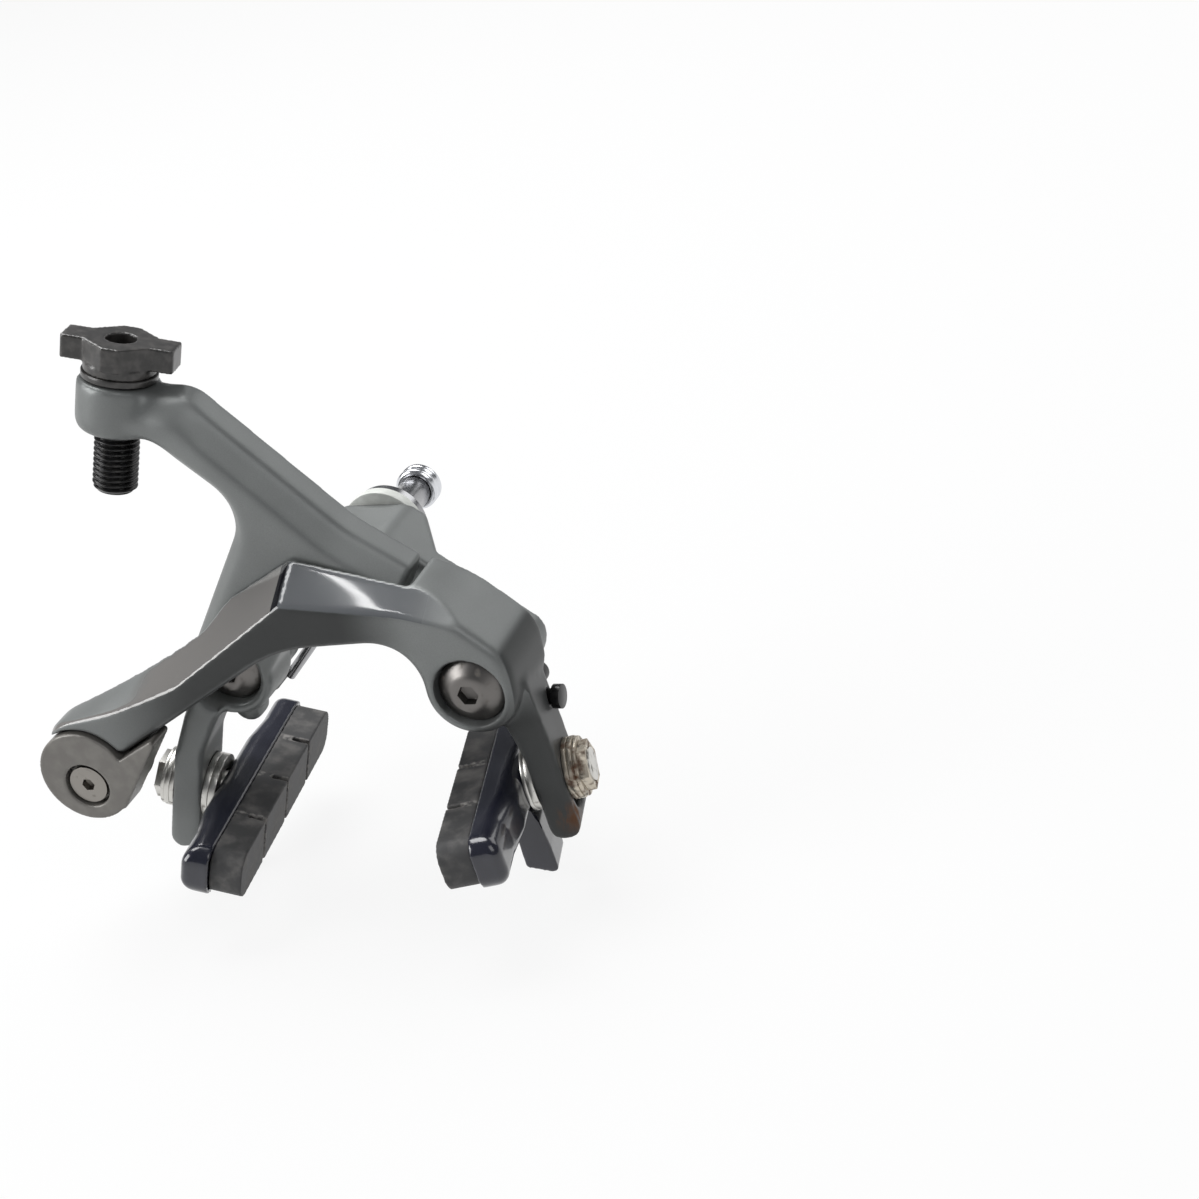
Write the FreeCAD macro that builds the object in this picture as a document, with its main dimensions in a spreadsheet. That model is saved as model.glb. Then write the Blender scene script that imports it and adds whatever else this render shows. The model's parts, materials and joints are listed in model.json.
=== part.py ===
import FreeCAD, Part
import math
import os
import Sketcher

# Dual-pivot caliper brake for a bicycle rim.
# Frame: origin on the centre bolt's axis at the mounting face, +X to the right seen from the front,
# +Y toward the bicycle's frame, +Z up. All sizes are millimetres and degrees.

DOCUMENT = FreeCAD.newDocument("caliper_brake")

# Driving dimensions, each one written once.
SIZES = {
    # pivots and layers, from the mounting face forward
    "pivot_half": 25.0, "pivot_drop": 16.0,
    "toothed_thick": 1.5, "spacer_thick": 2.6, "bracket_depth": 13.4, "layer_gap": 0.8,
    "rear_arm_depth": 10.2, "arm_gap": 0.4, "clearance": 0.3, "running_fit": 0.06,
    "round_flat": 0.15,
    # centre bolt with its washers and nut
    "bolt_radius": 3.0, "bolt_reach": 16.0, "bolt_head_radius": 3.9, "bolt_head_depth": 4.2,
    "bolt_chamfer": 0.5, "washer_radius": 7.2, "spacer_flare": 0.5, "nut_radius": 4.1,
    "nut_length": 3.4, "nut_groove": 0.45,
    # pivot bolts and bushes
    "pivot_shank": 4.0, "pivot_thread": 3.0, "bush_wall": 1.0, "bush_flange": 6.2,
    "pivot_head": 6.0, "pivot_head_rise": 2.6, "pivot_head_rim": 0.7, "pivot_head_crown": 3.1,
    "head_recess": 6.4, "left_recess_depth": 3.2, "right_recess_depth": 2.8, "flange_sink": 0.2,
    "pivot_socket": 2.0, "socket_depth": 1.8,
    # arch bracket
    "bracket_crown": 5.6, "bracket_crown_half": 6.6, "bracket_boss": 6.6, "bracket_arch": 9.4,
    "bracket_crown_round": 5.0, "bracket_wing_set": 8.0, "bracket_side": 14.0, "bracket_side_round": 3.6,
    "bracket_step": 2.2, "bracket_ramp": 4.4, "bracket_edge": 0.8,
    # front arm: bar from the cable end to the apex, arch, shoulder and boss
    "apex_left": 5.5, "apex_rise": 8.0, "bar_end_left": 57.0, "bar_end_drop": 20.0,
    "bar_height": 11.2, "bar_end_round": 3.6, "arch_top": 6.0, "arch_left": 8.2, "arch_right": 16.4,
    "arch_round_left": 25.0, "arch_round_right": 9.0, "boss_side": 8.4, "boss_foot": 8.3,
    "shoulder_out": 21.5, "shoulder_rise": 0.9, "shoulder_round": 25.0, "corner_drop": 9.6,
    "bar_depth": 8.8, "boss_front": 35.0, "cable_end_front": 43.6, "cable_end_back": 38.0,
    "cable_end_turn": 41.0, "front_knee": 15.0, "back_knee": 20.0, "back_ramp": 4.0,
    "back_round": 3.0, "step_right": 15.6, "plan_round": 25.0,
    "panel_near": 5.3, "panel_level": 5.0, "panel_far": -3.0, "panel_even": 22.5, "panel_run": 61.6, "panel_overrun": 11.0,
    "shoulder_panel": 4.6, "shoulder_run": 43.0, "belly_round": 1.9,
    # rear arm: web, tail and cable boss
    "neck_left": 20.5, "neck_lift": 1.5, "neck_round": 6.0, "hip_right": 3.5, "hip_rise": 10.8,
    "hip_round": 20.0, "tail_right": 14.4, "tail_rise": 3.0, "tail_depth": 5.4, "tail_taper": 2.7,
    "tail_round": 1.2,
    "web_low": 4.0, "web_left": 7.0, "throat_left": 13.8, "throat_rise": 16.0, "throat_round": 8.0,
    "jaw_left": 27.5, "jaw_fall": 6.2, "jaw_round": 9.0, "flank_left": 33.4, "flank_drop": 14.0,
    "rear_boss": 8.6, "ridge_bevel": 4.2, "throat_bevel": 2.6, "neck_fall": 1.5,
    "barrel_left": 34.9, "barrel_rise": 35.2, "barrel_tilt": 16.0, "barrel_lean": 8.0,
    "barrel_boss": 7.4, "barrel_boss_height": 9.6, "barrel_boss_round": 2.0, "barrel_set": 21.9,
    # cable adjuster
    "thread_radius": 4.0, "thread_below": 11.4, "thread_chamfer": 0.8, "ferrule_radius": 2.7,
    "ferrule_depth": 6.0, "cable_radius": 1.1, "ring_radius": 6.7, "ring_height": 1.1,
    "knob_neck": 6.4, "knob_neck_height": 1.6, "knob_wing": 10.0, "knob_half_width": 6.7,
    "knob_root": 5.9, "knob_flat": 1.5, "wing_half_width": 3.0, "wing_round": 0.6, "knob_height": 4.2,
    "knob_turn": 11.0,
    # legs
    "leg_inset": 0.3, "leg_depth": 13.0, "leg_thick": 5.6, "leg_round": 2.4, "leg_knee": 31.0,
    "leg_flare": 2.0, "left_leg_set": 3.0, "right_leg_set": 0.4,
    "left_leg_root": 31.4, "left_leg_lean": 18.0, "left_leg_drop": 51.5,
    "right_leg_root": 30.5, "right_leg_lean": 6.5, "right_leg_drop": 48.5,
    "left_pad_drop": 40.5, "right_pad_drop": 38.0, "left_pad_yaw": 6.5, "right_pad_yaw": 12.0,
    "slot_above": 4.6, "slot_below": 7.0, "slot_room": 0.4,
    # pad set
    "stud_radius": 3.0, "stud_room": 0.5, "cup_thick": 1.2, "left_dome_thick": 1.3, "right_dome_thick": 0.7,
    "dish_radius": 6.2, "outer_cup_thick": 0.9, "outer_dome_thick": 1.0, "outer_dish_radius": 5.6,
    "dish_sink": 0.5, "pad_nut_radius": 4.6, "pad_nut_flange": 5.4, "pad_nut_height": 2.2,
    "flange_height": 0.7, "stud_proud": 0.2, "stud_seat": 2.0,
    "holder_lip": 1.0, "holder_height": 10.0, "holder_thick": 6.2, "holder_boss": 24.0,
    "holder_rise": 0.9, "holder_ramp": 7.0, "holder_round": 3.4, "pad_length": 53.0,
    "pad_height": 9.4, "pad_thick": 6.0, "pad_seat": 1.4, "pad_key_height": 6.6, "pad_round": 3.4,
    "slit_width": 0.9, "slit_depth": 3.4, "slit_pitch": 13.0, "guide_width": 8.5,
    "guide_drop": 18.6, "guide_heel": 16.0, "guide_knee": 12.8, "guide_top": 7.4,
    "guide_root": 4.0, "guide_in": 5.2, "guide_out": 0.4, "guide_round": 0.9, "holder_end": 1.6,
    "keeper_radius": 1.3, "keeper_length": 2.4, "keeper_inset": 5.0,
    # quick release and cable anchor
    "lever_left": 49.9, "lever_drop": 28.2, "lever_radius": 9.0, "lever_thick": 6.2,
    "lever_front": 44.2, "lever_tip_right": 17.8, "lever_tip_rise": 8.8,
    "lever_tip_round": 0.6, "lever_edge": 0.6, "lever_root": 3.7, "lever_heel": 6.5, "heel_drop": 6.7,
    "journal_radius": 6.2, "eye_radius": 8.4,
    "eye_back": 32.2, "anchor_throw": 1.9, "anchor_radius": 2.4, "anchor_head": 3.7,
    "anchor_head_depth": 1.4, "anchor_sink": 0.5, "anchor_socket": 1.3, "lever_hollow": 4.4,
    "clamp_radius": 4.4, "clamp_thick": 2.2, "anchor_nut_radius": 4.0, "anchor_nut_height": 3.2,
    # link between the arms
    "roller_radius": 3.0, "roller_width": 2.4, "roller_rise": 0.4, "roller_play": 0.15, "roller_pin": 1.5,
    "pin_depth": 4.0, "pin_cap": 2.3, "pin_cap_height": 0.5, "closing_turn": 14.0, "slot_overrun": 5.0,
    # return spring with its sliders, and the centring screw
    "spring_wire": 1.0, "spring_half": 8.0, "spring_round": 5.0, "post_radius": 1.4,
    "slider_wall": 0.8, "slider_length": 4.0, "post_out": 26.5, "toe_radius": 3.0, "toe_depth": 4.6,
    "post_drop": 26.6, "centring_radius": 2.2, "centring_head": 1.6, "centring_shank": 1.4,
    "centring_reach": 5.0, "centring_drop": 25.0, "centring_set": 20.4, "centring_proud": 0.65,
}


class Size:
    """A number together with the sheet formula that it comes from."""

    def __init__(self, value, formula):
        self.value = float(value)
        self.formula = formula

    def __add__(self, other):
        other = as_size(other)
        return Size(self.value + other.value, "(%s + %s)" % (self.formula, other.formula))

    def __sub__(self, other):
        other = as_size(other)
        return Size(self.value - other.value, "(%s - %s)" % (self.formula, other.formula))

    def __mul__(self, other):
        other = as_size(other)
        return Size(self.value * other.value, "(%s * %s)" % (self.formula, other.formula))

    def __truediv__(self, other):
        other = as_size(other)
        return Size(self.value / other.value, "(%s / %s)" % (self.formula, other.formula))

    def __neg__(self):
        return Size(-self.value, "(0 - %s)" % self.formula)

    def __radd__(self, other):
        return as_size(other) + self

    def __rsub__(self, other):
        return as_size(other) - self

    def __rmul__(self, other):
        return as_size(other) * self


def as_size(number):
    return number if isinstance(number, Size) else Size(number, "%.6g" % number)


def sine(angle):
    return Size(math.sin(math.radians(angle.value)), "sin(%s)" % angle.formula)


def cosine(angle):
    return Size(math.cos(math.radians(angle.value)), "cos(%s)" % angle.formula)


def tangent(angle):
    return sine(angle) / cosine(angle)


class SheetSizes:
    """The spreadsheet of driving dimensions, read back as Size values."""

    def __init__(self, numbers):
        sheet = DOCUMENT.addObject("Spreadsheet::Sheet", "Sizes")
        for row, (alias, number) in enumerate(numbers.items(), start=1):
            sheet.set("A%d" % row, alias.replace("_", " "))
            sheet.set("B%d" % row, "%g" % number)
            sheet.setAlias("B%d" % row, alias)
            setattr(self, alias, Size(number, "Sizes." + alias))
        DOCUMENT.recompute()


d = SheetSizes(SIZES)

# Layer planes, as distances along Y, and the radii that more than one piece shares.
bracket_back = -(d.toothed_thick + d.spacer_thick)
bracket_front = bracket_back - d.bracket_depth
wing_back = bracket_back - d.bracket_wing_set
arm_back = bracket_front - d.layer_gap
rear_arm_front = arm_back - d.rear_arm_depth
bar_back = rear_arm_front - d.arm_gap
bar_front = bar_back - d.bar_depth
pad_plane = arm_back - d.leg_inset - d.leg_depth * 0.5
leg_pass = pad_plane - d.leg_depth * 0.5 - d.clearance * 2
spring_plane = wing_back + d.spring_wire + d.clearance
bush_radius = d.pivot_shank + d.bush_wall
pivot_bore = bush_radius + d.running_fit
lever_back = d.lever_thick - d.lever_front
slider_radius = d.post_radius + d.running_fit + d.slider_wall
holder_length = d.pad_length + d.holder_lip * 2
bar_fall = (d.bar_end_drop + d.apex_rise) / (d.bar_end_left - d.apex_left)
bar_slope = Size(math.degrees(math.atan(bar_fall.value)), "atan(%s)" % bar_fall.formula)
bar_under_x = d.bar_height * sine(bar_slope) - d.bar_end_left
bar_under_z = -d.bar_end_drop - d.bar_height * cosine(bar_slope)

NODES = []
UPRIGHT = FreeCAD.Rotation()
FORWARD = FreeCAD.Rotation(FreeCAD.Vector(0, 0, 1), FreeCAD.Vector(0, -1, 0))
BACKWARD = FreeCAD.Rotation(FreeCAD.Vector(0, 0, 1), FreeCAD.Vector(0, 1, 0))
RIGHTWARD = FreeCAD.Rotation(FreeCAD.Vector(0, 0, 1), FreeCAD.Vector(1, 0, 0))

# The cable adjuster's axis tilts to the right and leans back, so the cable leaves it toward its anchor.
barrel_axis = (
    sine(d.barrel_tilt) * cosine(d.barrel_lean), sine(d.barrel_lean),
    cosine(d.barrel_tilt) * cosine(d.barrel_lean),
)
BARREL = FreeCAD.Rotation(FreeCAD.Vector(0, 0, 1), FreeCAD.Vector(*[part.value for part in barrel_axis]))


def new_body(label):
    """An empty body whose label names its file."""
    body = DOCUMENT.addObject("PartDesign::Body", label)
    body.Label = label
    NODES.append(body)
    return body


def place(node, x, y, z, rotation=UPRIGHT):
    """Put a node at x, y, z, bound to the sheet, turned by a rotation."""
    sizes = [as_size(number) for number in (x, y, z)]
    base = FreeCAD.Vector(*[size.value for size in sizes])
    node.Placement = FreeCAD.Placement(base, rotation)
    for axis, size in zip("xyz", sizes):
        node.setExpression("Placement.Base." + axis, size.formula)
    return node


def new_sketch(body, role, name, lift=0.0, across=0.0, up=0.0, turn=UPRIGHT):
    """A sketch on an origin plane, lifted along its normal, shifted and turned in its own axes."""
    sketch = body.newObject("Sketcher::SketchObject", name)
    plane = next(f for f in body.Origin.OriginFeatures if f.Role == role)
    sketch.AttachmentSupport = [(plane, "")]
    sketch.MapMode = "FlatFace"
    sizes = [as_size(number) for number in (across, up, lift)]
    base = FreeCAD.Vector(*[size.value for size in sizes])
    sketch.AttachmentOffset = FreeCAD.Placement(base, turn)
    for axis, size in zip("xyz", sizes):
        sketch.setExpression("AttachmentOffset.Base." + axis, size.formula)
    return sketch


def bind(sketch, constraints):
    """Add constraints, each with the sheet formula that drives it, if it has one."""
    first = len(sketch.Constraints)
    sketch.addConstraint([constraint for constraint, size in constraints])
    for index, (constraint, size) in enumerate(constraints, start=first):
        if size is not None:
            name = "size_%d" % index
            sketch.renameConstraint(index, name)
            sketch.setExpression("Constraints." + name, size.formula)


def pin_point(constraints, geometry, position, across, up):
    """Hold a sketch point at bound distances from the sketch's origin."""
    for kind, size in (("DistanceX", as_size(across)), ("DistanceY", as_size(up))):
        constraint = Sketcher.Constraint(kind, -1, 1, geometry, position, size.value)
        constraints.append((constraint, size))


def round_corner(before, point, after, radius):
    """Where a corner's round begins and ends, its arc, and whether the outline turns left there."""
    back = (before - point).normalize()
    ahead = (after - point).normalize()
    half = back.getAngle(ahead) / 2
    start = point + back * (radius / math.tan(half))
    end = point + ahead * (radius / math.tan(half))
    centre = point + (back + ahead).normalize() * (radius / math.sin(half))
    left_turn = back.cross(ahead).z < 0
    first, last = (start, end) if left_turn else (end, start)
    angles = [math.atan2(tip.y - centre.y, tip.x - centre.x) for tip in (first, last)]
    circle = Part.Circle(centre, FreeCAD.Vector(0, 0, 1), radius)
    return start, end, Part.ArcOfCircle(circle, angles[0], angles[1]), left_turn


def draw_outline(sketch, corners, closed=True):
    """Draw lines through corners, each (across, up) or (across, up, radius of its round)."""
    count = len(corners)
    points = [FreeCAD.Vector(as_size(c[0]).value, as_size(c[1]).value, 0) for c in corners]
    starts, ends, rounds = list(points), list(points), {}
    for i, corner in enumerate(corners):
        if len(corner) > 2:
            after = points[(i + 1) % count]
            starts[i], ends[i], arc, left_turn = round_corner(
                points[i - 1], points[i], after, as_size(corner[2]).value)
            rounds[i] = (arc, left_turn, as_size(corner[2]))
    sides = count if closed else count - 1
    lines = [Part.LineSegment(ends[i], starts[(i + 1) % count]) for i in range(sides)]
    sketch.addGeometry(lines, False)
    constraints = []
    for i, corner in enumerate(corners):
        before = (i - 1) % count
        if i in rounds:
            arc, left_turn, radius = rounds[i]
            curve = sketch.addGeometry(arc, False)
            held = sketch.addGeometry(Part.Point(points[i]), True)
            first, last = (1, 2) if left_turn else (2, 1)
            constraints += [
                (Sketcher.Constraint("Tangent", before, 2, curve, first), None),
                (Sketcher.Constraint("Tangent", i, 1, curve, last), None),
                (Sketcher.Constraint("PointOnObject", held, 1, before), None),
                (Sketcher.Constraint("PointOnObject", held, 1, i), None),
                (Sketcher.Constraint("Radius", curve, radius.value), radius),
            ]
            pin_point(constraints, held, 1, corner[0], corner[1])
        elif closed or 0 < i < count - 1:
            constraints.append((Sketcher.Constraint("Coincident", before, 2, i, 1), None))
            pin_point(constraints, i, 1, corner[0], corner[1])
        else:
            line, tip = (0, 1) if i == 0 else (sides - 1, 2)
            pin_point(constraints, line, tip, corner[0], corner[1])
    bind(sketch, constraints)
    return sketch


def draw_circle(sketch, across, up, radius):
    """Draw a circle at a bound centre."""
    across, up, radius = as_size(across), as_size(up), as_size(radius)
    centre = FreeCAD.Vector(across.value, up.value, 0)
    circle = sketch.addGeometry(Part.Circle(centre, FreeCAD.Vector(0, 0, 1), radius.value), False)
    constraints = [(Sketcher.Constraint("Radius", circle, radius.value), radius)]
    pin_point(constraints, circle, 3, across, up)
    bind(sketch, constraints)
    return sketch


def add_feature(body, kind, name, settings, grows=None):
    """Add a feature to a body and make sure that it changes the volume the right way."""
    before = 0.0 if body.Shape.isNull() else body.Shape.Volume
    feature = body.newObject("PartDesign::" + kind, name)
    for key, value in settings.items():
        if isinstance(value, Size):
            setattr(feature, key, value.value)
            feature.setExpression(key, value.formula)
        else:
            setattr(feature, key, value)
    DOCUMENT.recompute()
    change = body.Shape.Volume - before
    if abs(change) < 1e-6 or (grows is not None and (change > 0) != grows):
        raise RuntimeError("%s changed the volume of %s by %.4f" % (name, body.Label, change))
    return feature


def pad(body, sketch, length, both_ways=False):
    """Raise a sketch along its normal, or half of the length each way."""
    settings = {"Profile": sketch, "Length": as_size(length)}
    if both_ways:
        settings["SideType"] = "Symmetric"
    return add_feature(body, "Pad", "raise_" + sketch.Name, settings, True)


def pocket(body, sketch, depth):
    """Cut a sketch into the body, against its normal."""
    settings = {"Profile": sketch, "Length": as_size(depth)}
    return add_feature(body, "Pocket", "cut_" + sketch.Name, settings, False)


def slab(body, name, corners, back, front):
    """Raise an outline drawn in the front view, from a back plane forward to a front plane."""
    sketch = draw_outline(new_sketch(body, "XZ_Plane", name, -as_size(back)), corners)
    return pad(body, sketch, as_size(back) - as_size(front))


def disc(body, name, x, z, radius, back, front):
    """Raise a circle drawn in the front view, from a back plane forward to a front plane."""
    sketch = draw_circle(new_sketch(body, "XZ_Plane", name, -as_size(back)), x, z, radius)
    return pad(body, sketch, as_size(back) - as_size(front))


def bore(body, name, x, z, radius, front, back):
    """Cut a round hole drawn in the front view, from a front plane back to a back plane."""
    sketch = draw_circle(new_sketch(body, "XZ_Plane", name, -as_size(front)), x, z, radius)
    return pocket(body, sketch, as_size(back) - as_size(front))


def plan_cut(body, name, corners):
    """Cut an outline drawn in the plan view right through the height of the part."""
    top = d.barrel_rise + d.barrel_boss_height * 2
    sketch = draw_outline(new_sketch(body, "XY_Plane", name, top), corners)
    return pocket(body, sketch, top + d.left_leg_drop * 2)


def turn_about(body, sketch, kind="Revolution"):
    """Turn a profile about its sketch's upright axis, adding it or cutting it."""
    settings = {"Profile": sketch, "ReferenceAxis": (sketch, ["V_Axis"]), "Angle": 360.0}
    return add_feature(body, kind, "turn_" + sketch.Name, settings, kind == "Revolution")


def turned(label, profile):
    """A round piece turned about its own Z, from corners given as (radius, height)."""
    body = new_body(label)
    turn_about(body, draw_outline(new_sketch(body, "XZ_Plane", label + "_profile"), profile))
    return body


def hexagon(radius):
    """Corners of a hexagon on a circle of this radius."""
    corners = []
    for i in range(6):
        angle = math.radians(i * 60.0)
        corners.append((radius * math.cos(angle), radius * math.sin(angle)))
    return corners


def drive_socket(body, name, radius, top, depth):
    """Cut a six-sided driver socket into the top of a turned piece."""
    sketch = draw_outline(new_sketch(body, "XY_Plane", name, top), hexagon(radius))
    return pocket(body, sketch, depth)


def dress(body, kind, name, size, chosen):
    """Fillet or chamfer the edges of the body's tip that the test picks out."""
    base = body.Tip
    edges = ["Edge%d" % i for i, edge in enumerate(base.Shape.Edges, start=1) if chosen(edge)]
    if not edges:
        raise RuntimeError("no edge chosen for %s of %s" % (name, body.Label))
    key = "Radius" if kind == "Fillet" else "Size"
    return add_feature(body, kind, name, {"Base": (base, edges), key: as_size(size)})


def in_plane(edge, y):
    """True where the whole edge lies in the plane at this distance along Y."""
    box = edge.BoundBox
    return abs(box.YMin - y.value) < 1e-3 and abs(box.YMax - y.value) < 1e-3


def face_normals(body, edge):
    """Outward normals, at the edge's middle, of the two faces that meet there."""
    middle = edge.valueAt((edge.FirstParameter + edge.LastParameter) / 2)
    normals = []
    for face in body.Tip.Shape.ancestorsOfType(edge, Part.Face):
        u, v = face.Surface.parameter(middle)
        normals.append(face.normalAt(u, v))
    return middle, normals


def cut_wedge(body, name, stations):
    """Cut a ruled wedge away between outlines drawn in planes across X."""
    sketches = []
    for number, (across, corners) in enumerate(stations):
        sketch = new_sketch(body, "YZ_Plane", "%s_%d" % (name, number), across)
        sketches.append(draw_outline(sketch, corners))
    settings = {"Profile": sketches[0], "Sections": sketches[1:], "Ruled": True}
    return add_feature(body, "SubtractiveLoft", name, settings, False)


class Leg:
    """One leg: the plane it lies in, turned with its pad, and the frame of its pad's stud."""

    def __init__(self, name, side):
        self.name, self.side = name, side
        self.root = side * getattr(d, name + "_leg_root")
        self.lean = getattr(d, name + "_leg_lean")
        self.drop = getattr(d, name + "_leg_drop")
        self.stud_drop = getattr(d, name + "_pad_drop")
        self.yaw = getattr(d, name + "_pad_yaw")
        self.half = d.leg_thick * 0.5
        self.turn = FreeCAD.Rotation(FreeCAD.Vector(0, 1, 0), self.yaw.value)
        run = side * (self.stud_drop - d.pivot_drop) * tangent(self.lean)
        self.stud_x = self.root + run * cosine(self.yaw)
        self.stud_y = pad_plane + run * sine(self.yaw)
        lean = FreeCAD.Rotation(FreeCAD.Vector(0, 1, 0), -side * self.lean.value)
        yaw = FreeCAD.Rotation(FreeCAD.Vector(0, 0, 1), self.yaw.value)
        facing = yaw.multiply(lean)
        self.inward = facing.multVec(FreeCAD.Vector(-side, 0, 0))
        self.along = facing.multVec(FreeCAD.Vector(0, -side, 0))
        self.upward = facing.multVec(FreeCAD.Vector(0, 0, 1))
        self.frame = FreeCAD.Rotation(self.along, self.upward, self.inward, "ZXY")

    def raise_on(self, body):
        """Raise the leg on an arm, with a slot that its stud can slide in."""
        half = self.side * self.half / cosine(self.lean)
        knee = self.side * (d.leg_knee - d.pivot_drop) * tangent(self.lean)
        foot = self.side * (self.drop - d.pivot_drop) * tangent(self.lean)
        top = -self.side * getattr(d, self.name + "_leg_set")
        corners = [
            (top + half, -d.pivot_drop), (knee + half, -d.leg_knee),
            (foot + half, -self.drop, d.leg_round), (foot - half, -self.drop, d.leg_round),
            (knee - half, -d.leg_knee), (top - half - self.side * d.leg_flare, -d.pivot_drop),
        ]
        sketch = new_sketch(body, "XZ_Plane", self.name + "_leg", -pad_plane, self.root, 0.0, self.turn)
        pad(body, draw_outline(sketch, corners), d.leg_depth, True)

    def cut_slot(self, body):
        """Cut the slot through the leg, level and square to the turned plane."""
        away = d.leg_thick * 2
        width = d.stud_radius + d.slot_room
        top = d.slot_above - self.stud_drop
        low = -self.stud_drop - d.slot_below
        bend = width - d.round_flat
        corners = [(-width, low, bend), (width, low, bend), (width, top, bend), (-width, top, bend)]
        sketch = new_sketch(
            body, "YZ_Plane", self.name + "_slot", self.stud_x + away * cosine(self.yaw),
            self.stud_y + away * sine(self.yaw), 0.0, self.turn)
        pocket(body, draw_outline(sketch, corners), away * 2)

    def set_on(self, node, reach, along=0.0):
        """Put a piece of the pad set on the stud's axis, this far inward from the leg's middle."""
        reach, along = as_size(reach), as_size(along)
        base = (self.stud_x, self.stud_y, -self.stud_drop)
        sizes = []
        for size, toward, level in zip(base, self.inward, self.along):
            sizes.append(size + reach * toward + along * level)
        return place(node, sizes[0], sizes[1], sizes[2], self.frame)


LEFT_LEG = Leg("left", -1.0)
RIGHT_LEG = Leg("right", 1.0)


# Arch bracket and what is fixed to it
def make_bracket():
    body = new_body("arch_bracket")
    half, drop, boss = d.pivot_half, d.pivot_drop, d.bracket_boss
    foot = -(drop + boss)
    boss_round = boss - d.round_flat
    right = [
        (half - boss - d.bracket_step, -d.bracket_arch, boss),
        (half - boss, foot, boss_round), (half + boss, foot, boss_round),
        (half + boss, -d.bracket_side, d.bracket_side_round),
        (d.bracket_crown_half, d.bracket_crown, d.bracket_crown_round),
    ]
    left = [(-corner[0], corner[1], corner[2]) for corner in reversed(right)]
    slab(body, "bracket_outline", right + left, bracket_back, bracket_front)
    seat = d.washer_radius + d.bracket_step
    beyond = bracket_back + d.clearance
    for side, name in ((-1.0, "left_relief"), (1.0, "right_relief")):
        far = side * (half + boss * 2)
        plan_cut(body, name, [
            (side * seat, beyond), (side * seat, bracket_back),
            (side * (seat + d.bracket_ramp), wing_back), (far, wing_back), (far, beyond),
        ])
    dress(body, "Chamfer", "front_edge", d.bracket_edge, lambda edge: in_plane(edge, bracket_front))
    bore(body, "bolt_bore", 0.0, 0.0, d.bolt_radius + d.running_fit, bracket_front, bracket_back)
    head_floor = bracket_front + d.bolt_head_depth + d.clearance
    bore(body, "head_bore", 0.0, 0.0, d.bolt_head_radius + d.clearance, bracket_front, head_floor)
    for side, name in ((-1.0, "left_tapping"), (1.0, "right_tapping")):
        bore(body, name, side * half, -drop, d.pivot_thread, bracket_front, wing_back)


def make_centre_bolt():
    head = d.bolt_head_depth
    length = d.bolt_reach - bracket_front - d.clearance
    shank, tip = d.bolt_radius, d.bolt_radius - d.bolt_chamfer
    bolt = turned("center_bolt", [
        (0.0, 0.0), (d.bolt_head_radius, 0.0), (d.bolt_head_radius, head), (shank, head),
        (shank, length - d.bolt_chamfer), (tip, length), (0.0, length),
    ])
    place(bolt, 0.0, bracket_front + d.clearance, 0.0, BACKWARD)


def make_washers():
    hole, rim = d.bolt_radius + d.running_fit, d.washer_radius
    flare = rim + d.spacer_flare
    spacer = turned("spacer_washer", [
        (hole, 0.0), (flare, 0.0), (flare, d.spacer_thick - d.spacer_flare), (rim, d.spacer_thick),
        (hole, d.spacer_thick),
    ])
    place(spacer, 0.0, bracket_back, 0.0, BACKWARD)
    toothed = turned("toothed_washer", [
        (hole, 0.0), (rim, 0.0), (rim, d.toothed_thick), (hole, d.toothed_thick),
    ])
    place(toothed, 0.0, -d.toothed_thick, 0.0, BACKWARD)
    groove = d.nut_groove
    middle, low = d.nut_length * 0.5, d.nut_radius - groove
    nut = turned("mounting_nut", [
        (hole, 0.0), (low, 0.0), (d.nut_radius, groove), (d.nut_radius, middle - groove),
        (low, middle), (d.nut_radius, middle + groove), (d.nut_radius, d.nut_length - groove),
        (low, d.nut_length), (hole, d.nut_length),
    ])
    place(nut, 0.0, d.bolt_reach - d.nut_length - d.bolt_chamfer, 0.0, BACKWARD)


def make_pivot(name, side, seat):
    """Shoulder bolt with a domed head, and the flanged bush that its arm turns on."""
    under_head = bracket_front - seat
    foot = bracket_front - wing_back
    top = under_head + d.pivot_head_rise
    bolt = turned(name + "_pivot_bolt", [
        (0.0, foot), (d.pivot_thread, foot), (d.pivot_thread, 0.0), (d.pivot_shank, 0.0),
        (d.pivot_shank, under_head), (d.pivot_head, under_head),
        (d.pivot_head, under_head + d.pivot_head_rim), (d.pivot_head_crown, top), (0.0, top),
    ])
    drive_socket(bolt, name + "_socket", d.pivot_socket, top, d.socket_depth)
    place(bolt, side * d.pivot_half, bracket_front, -d.pivot_drop, FORWARD)
    flange = d.layer_gap - d.clearance
    bush = turned(name + "_pivot_bush", [
        (d.pivot_shank, 0.0), (d.bush_flange, 0.0), (d.bush_flange, flange), (bush_radius, flange),
        (bush_radius, under_head), (d.pivot_shank, under_head),
    ])
    place(bush, side * d.pivot_half, bracket_front, -d.pivot_drop, FORWARD)


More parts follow.
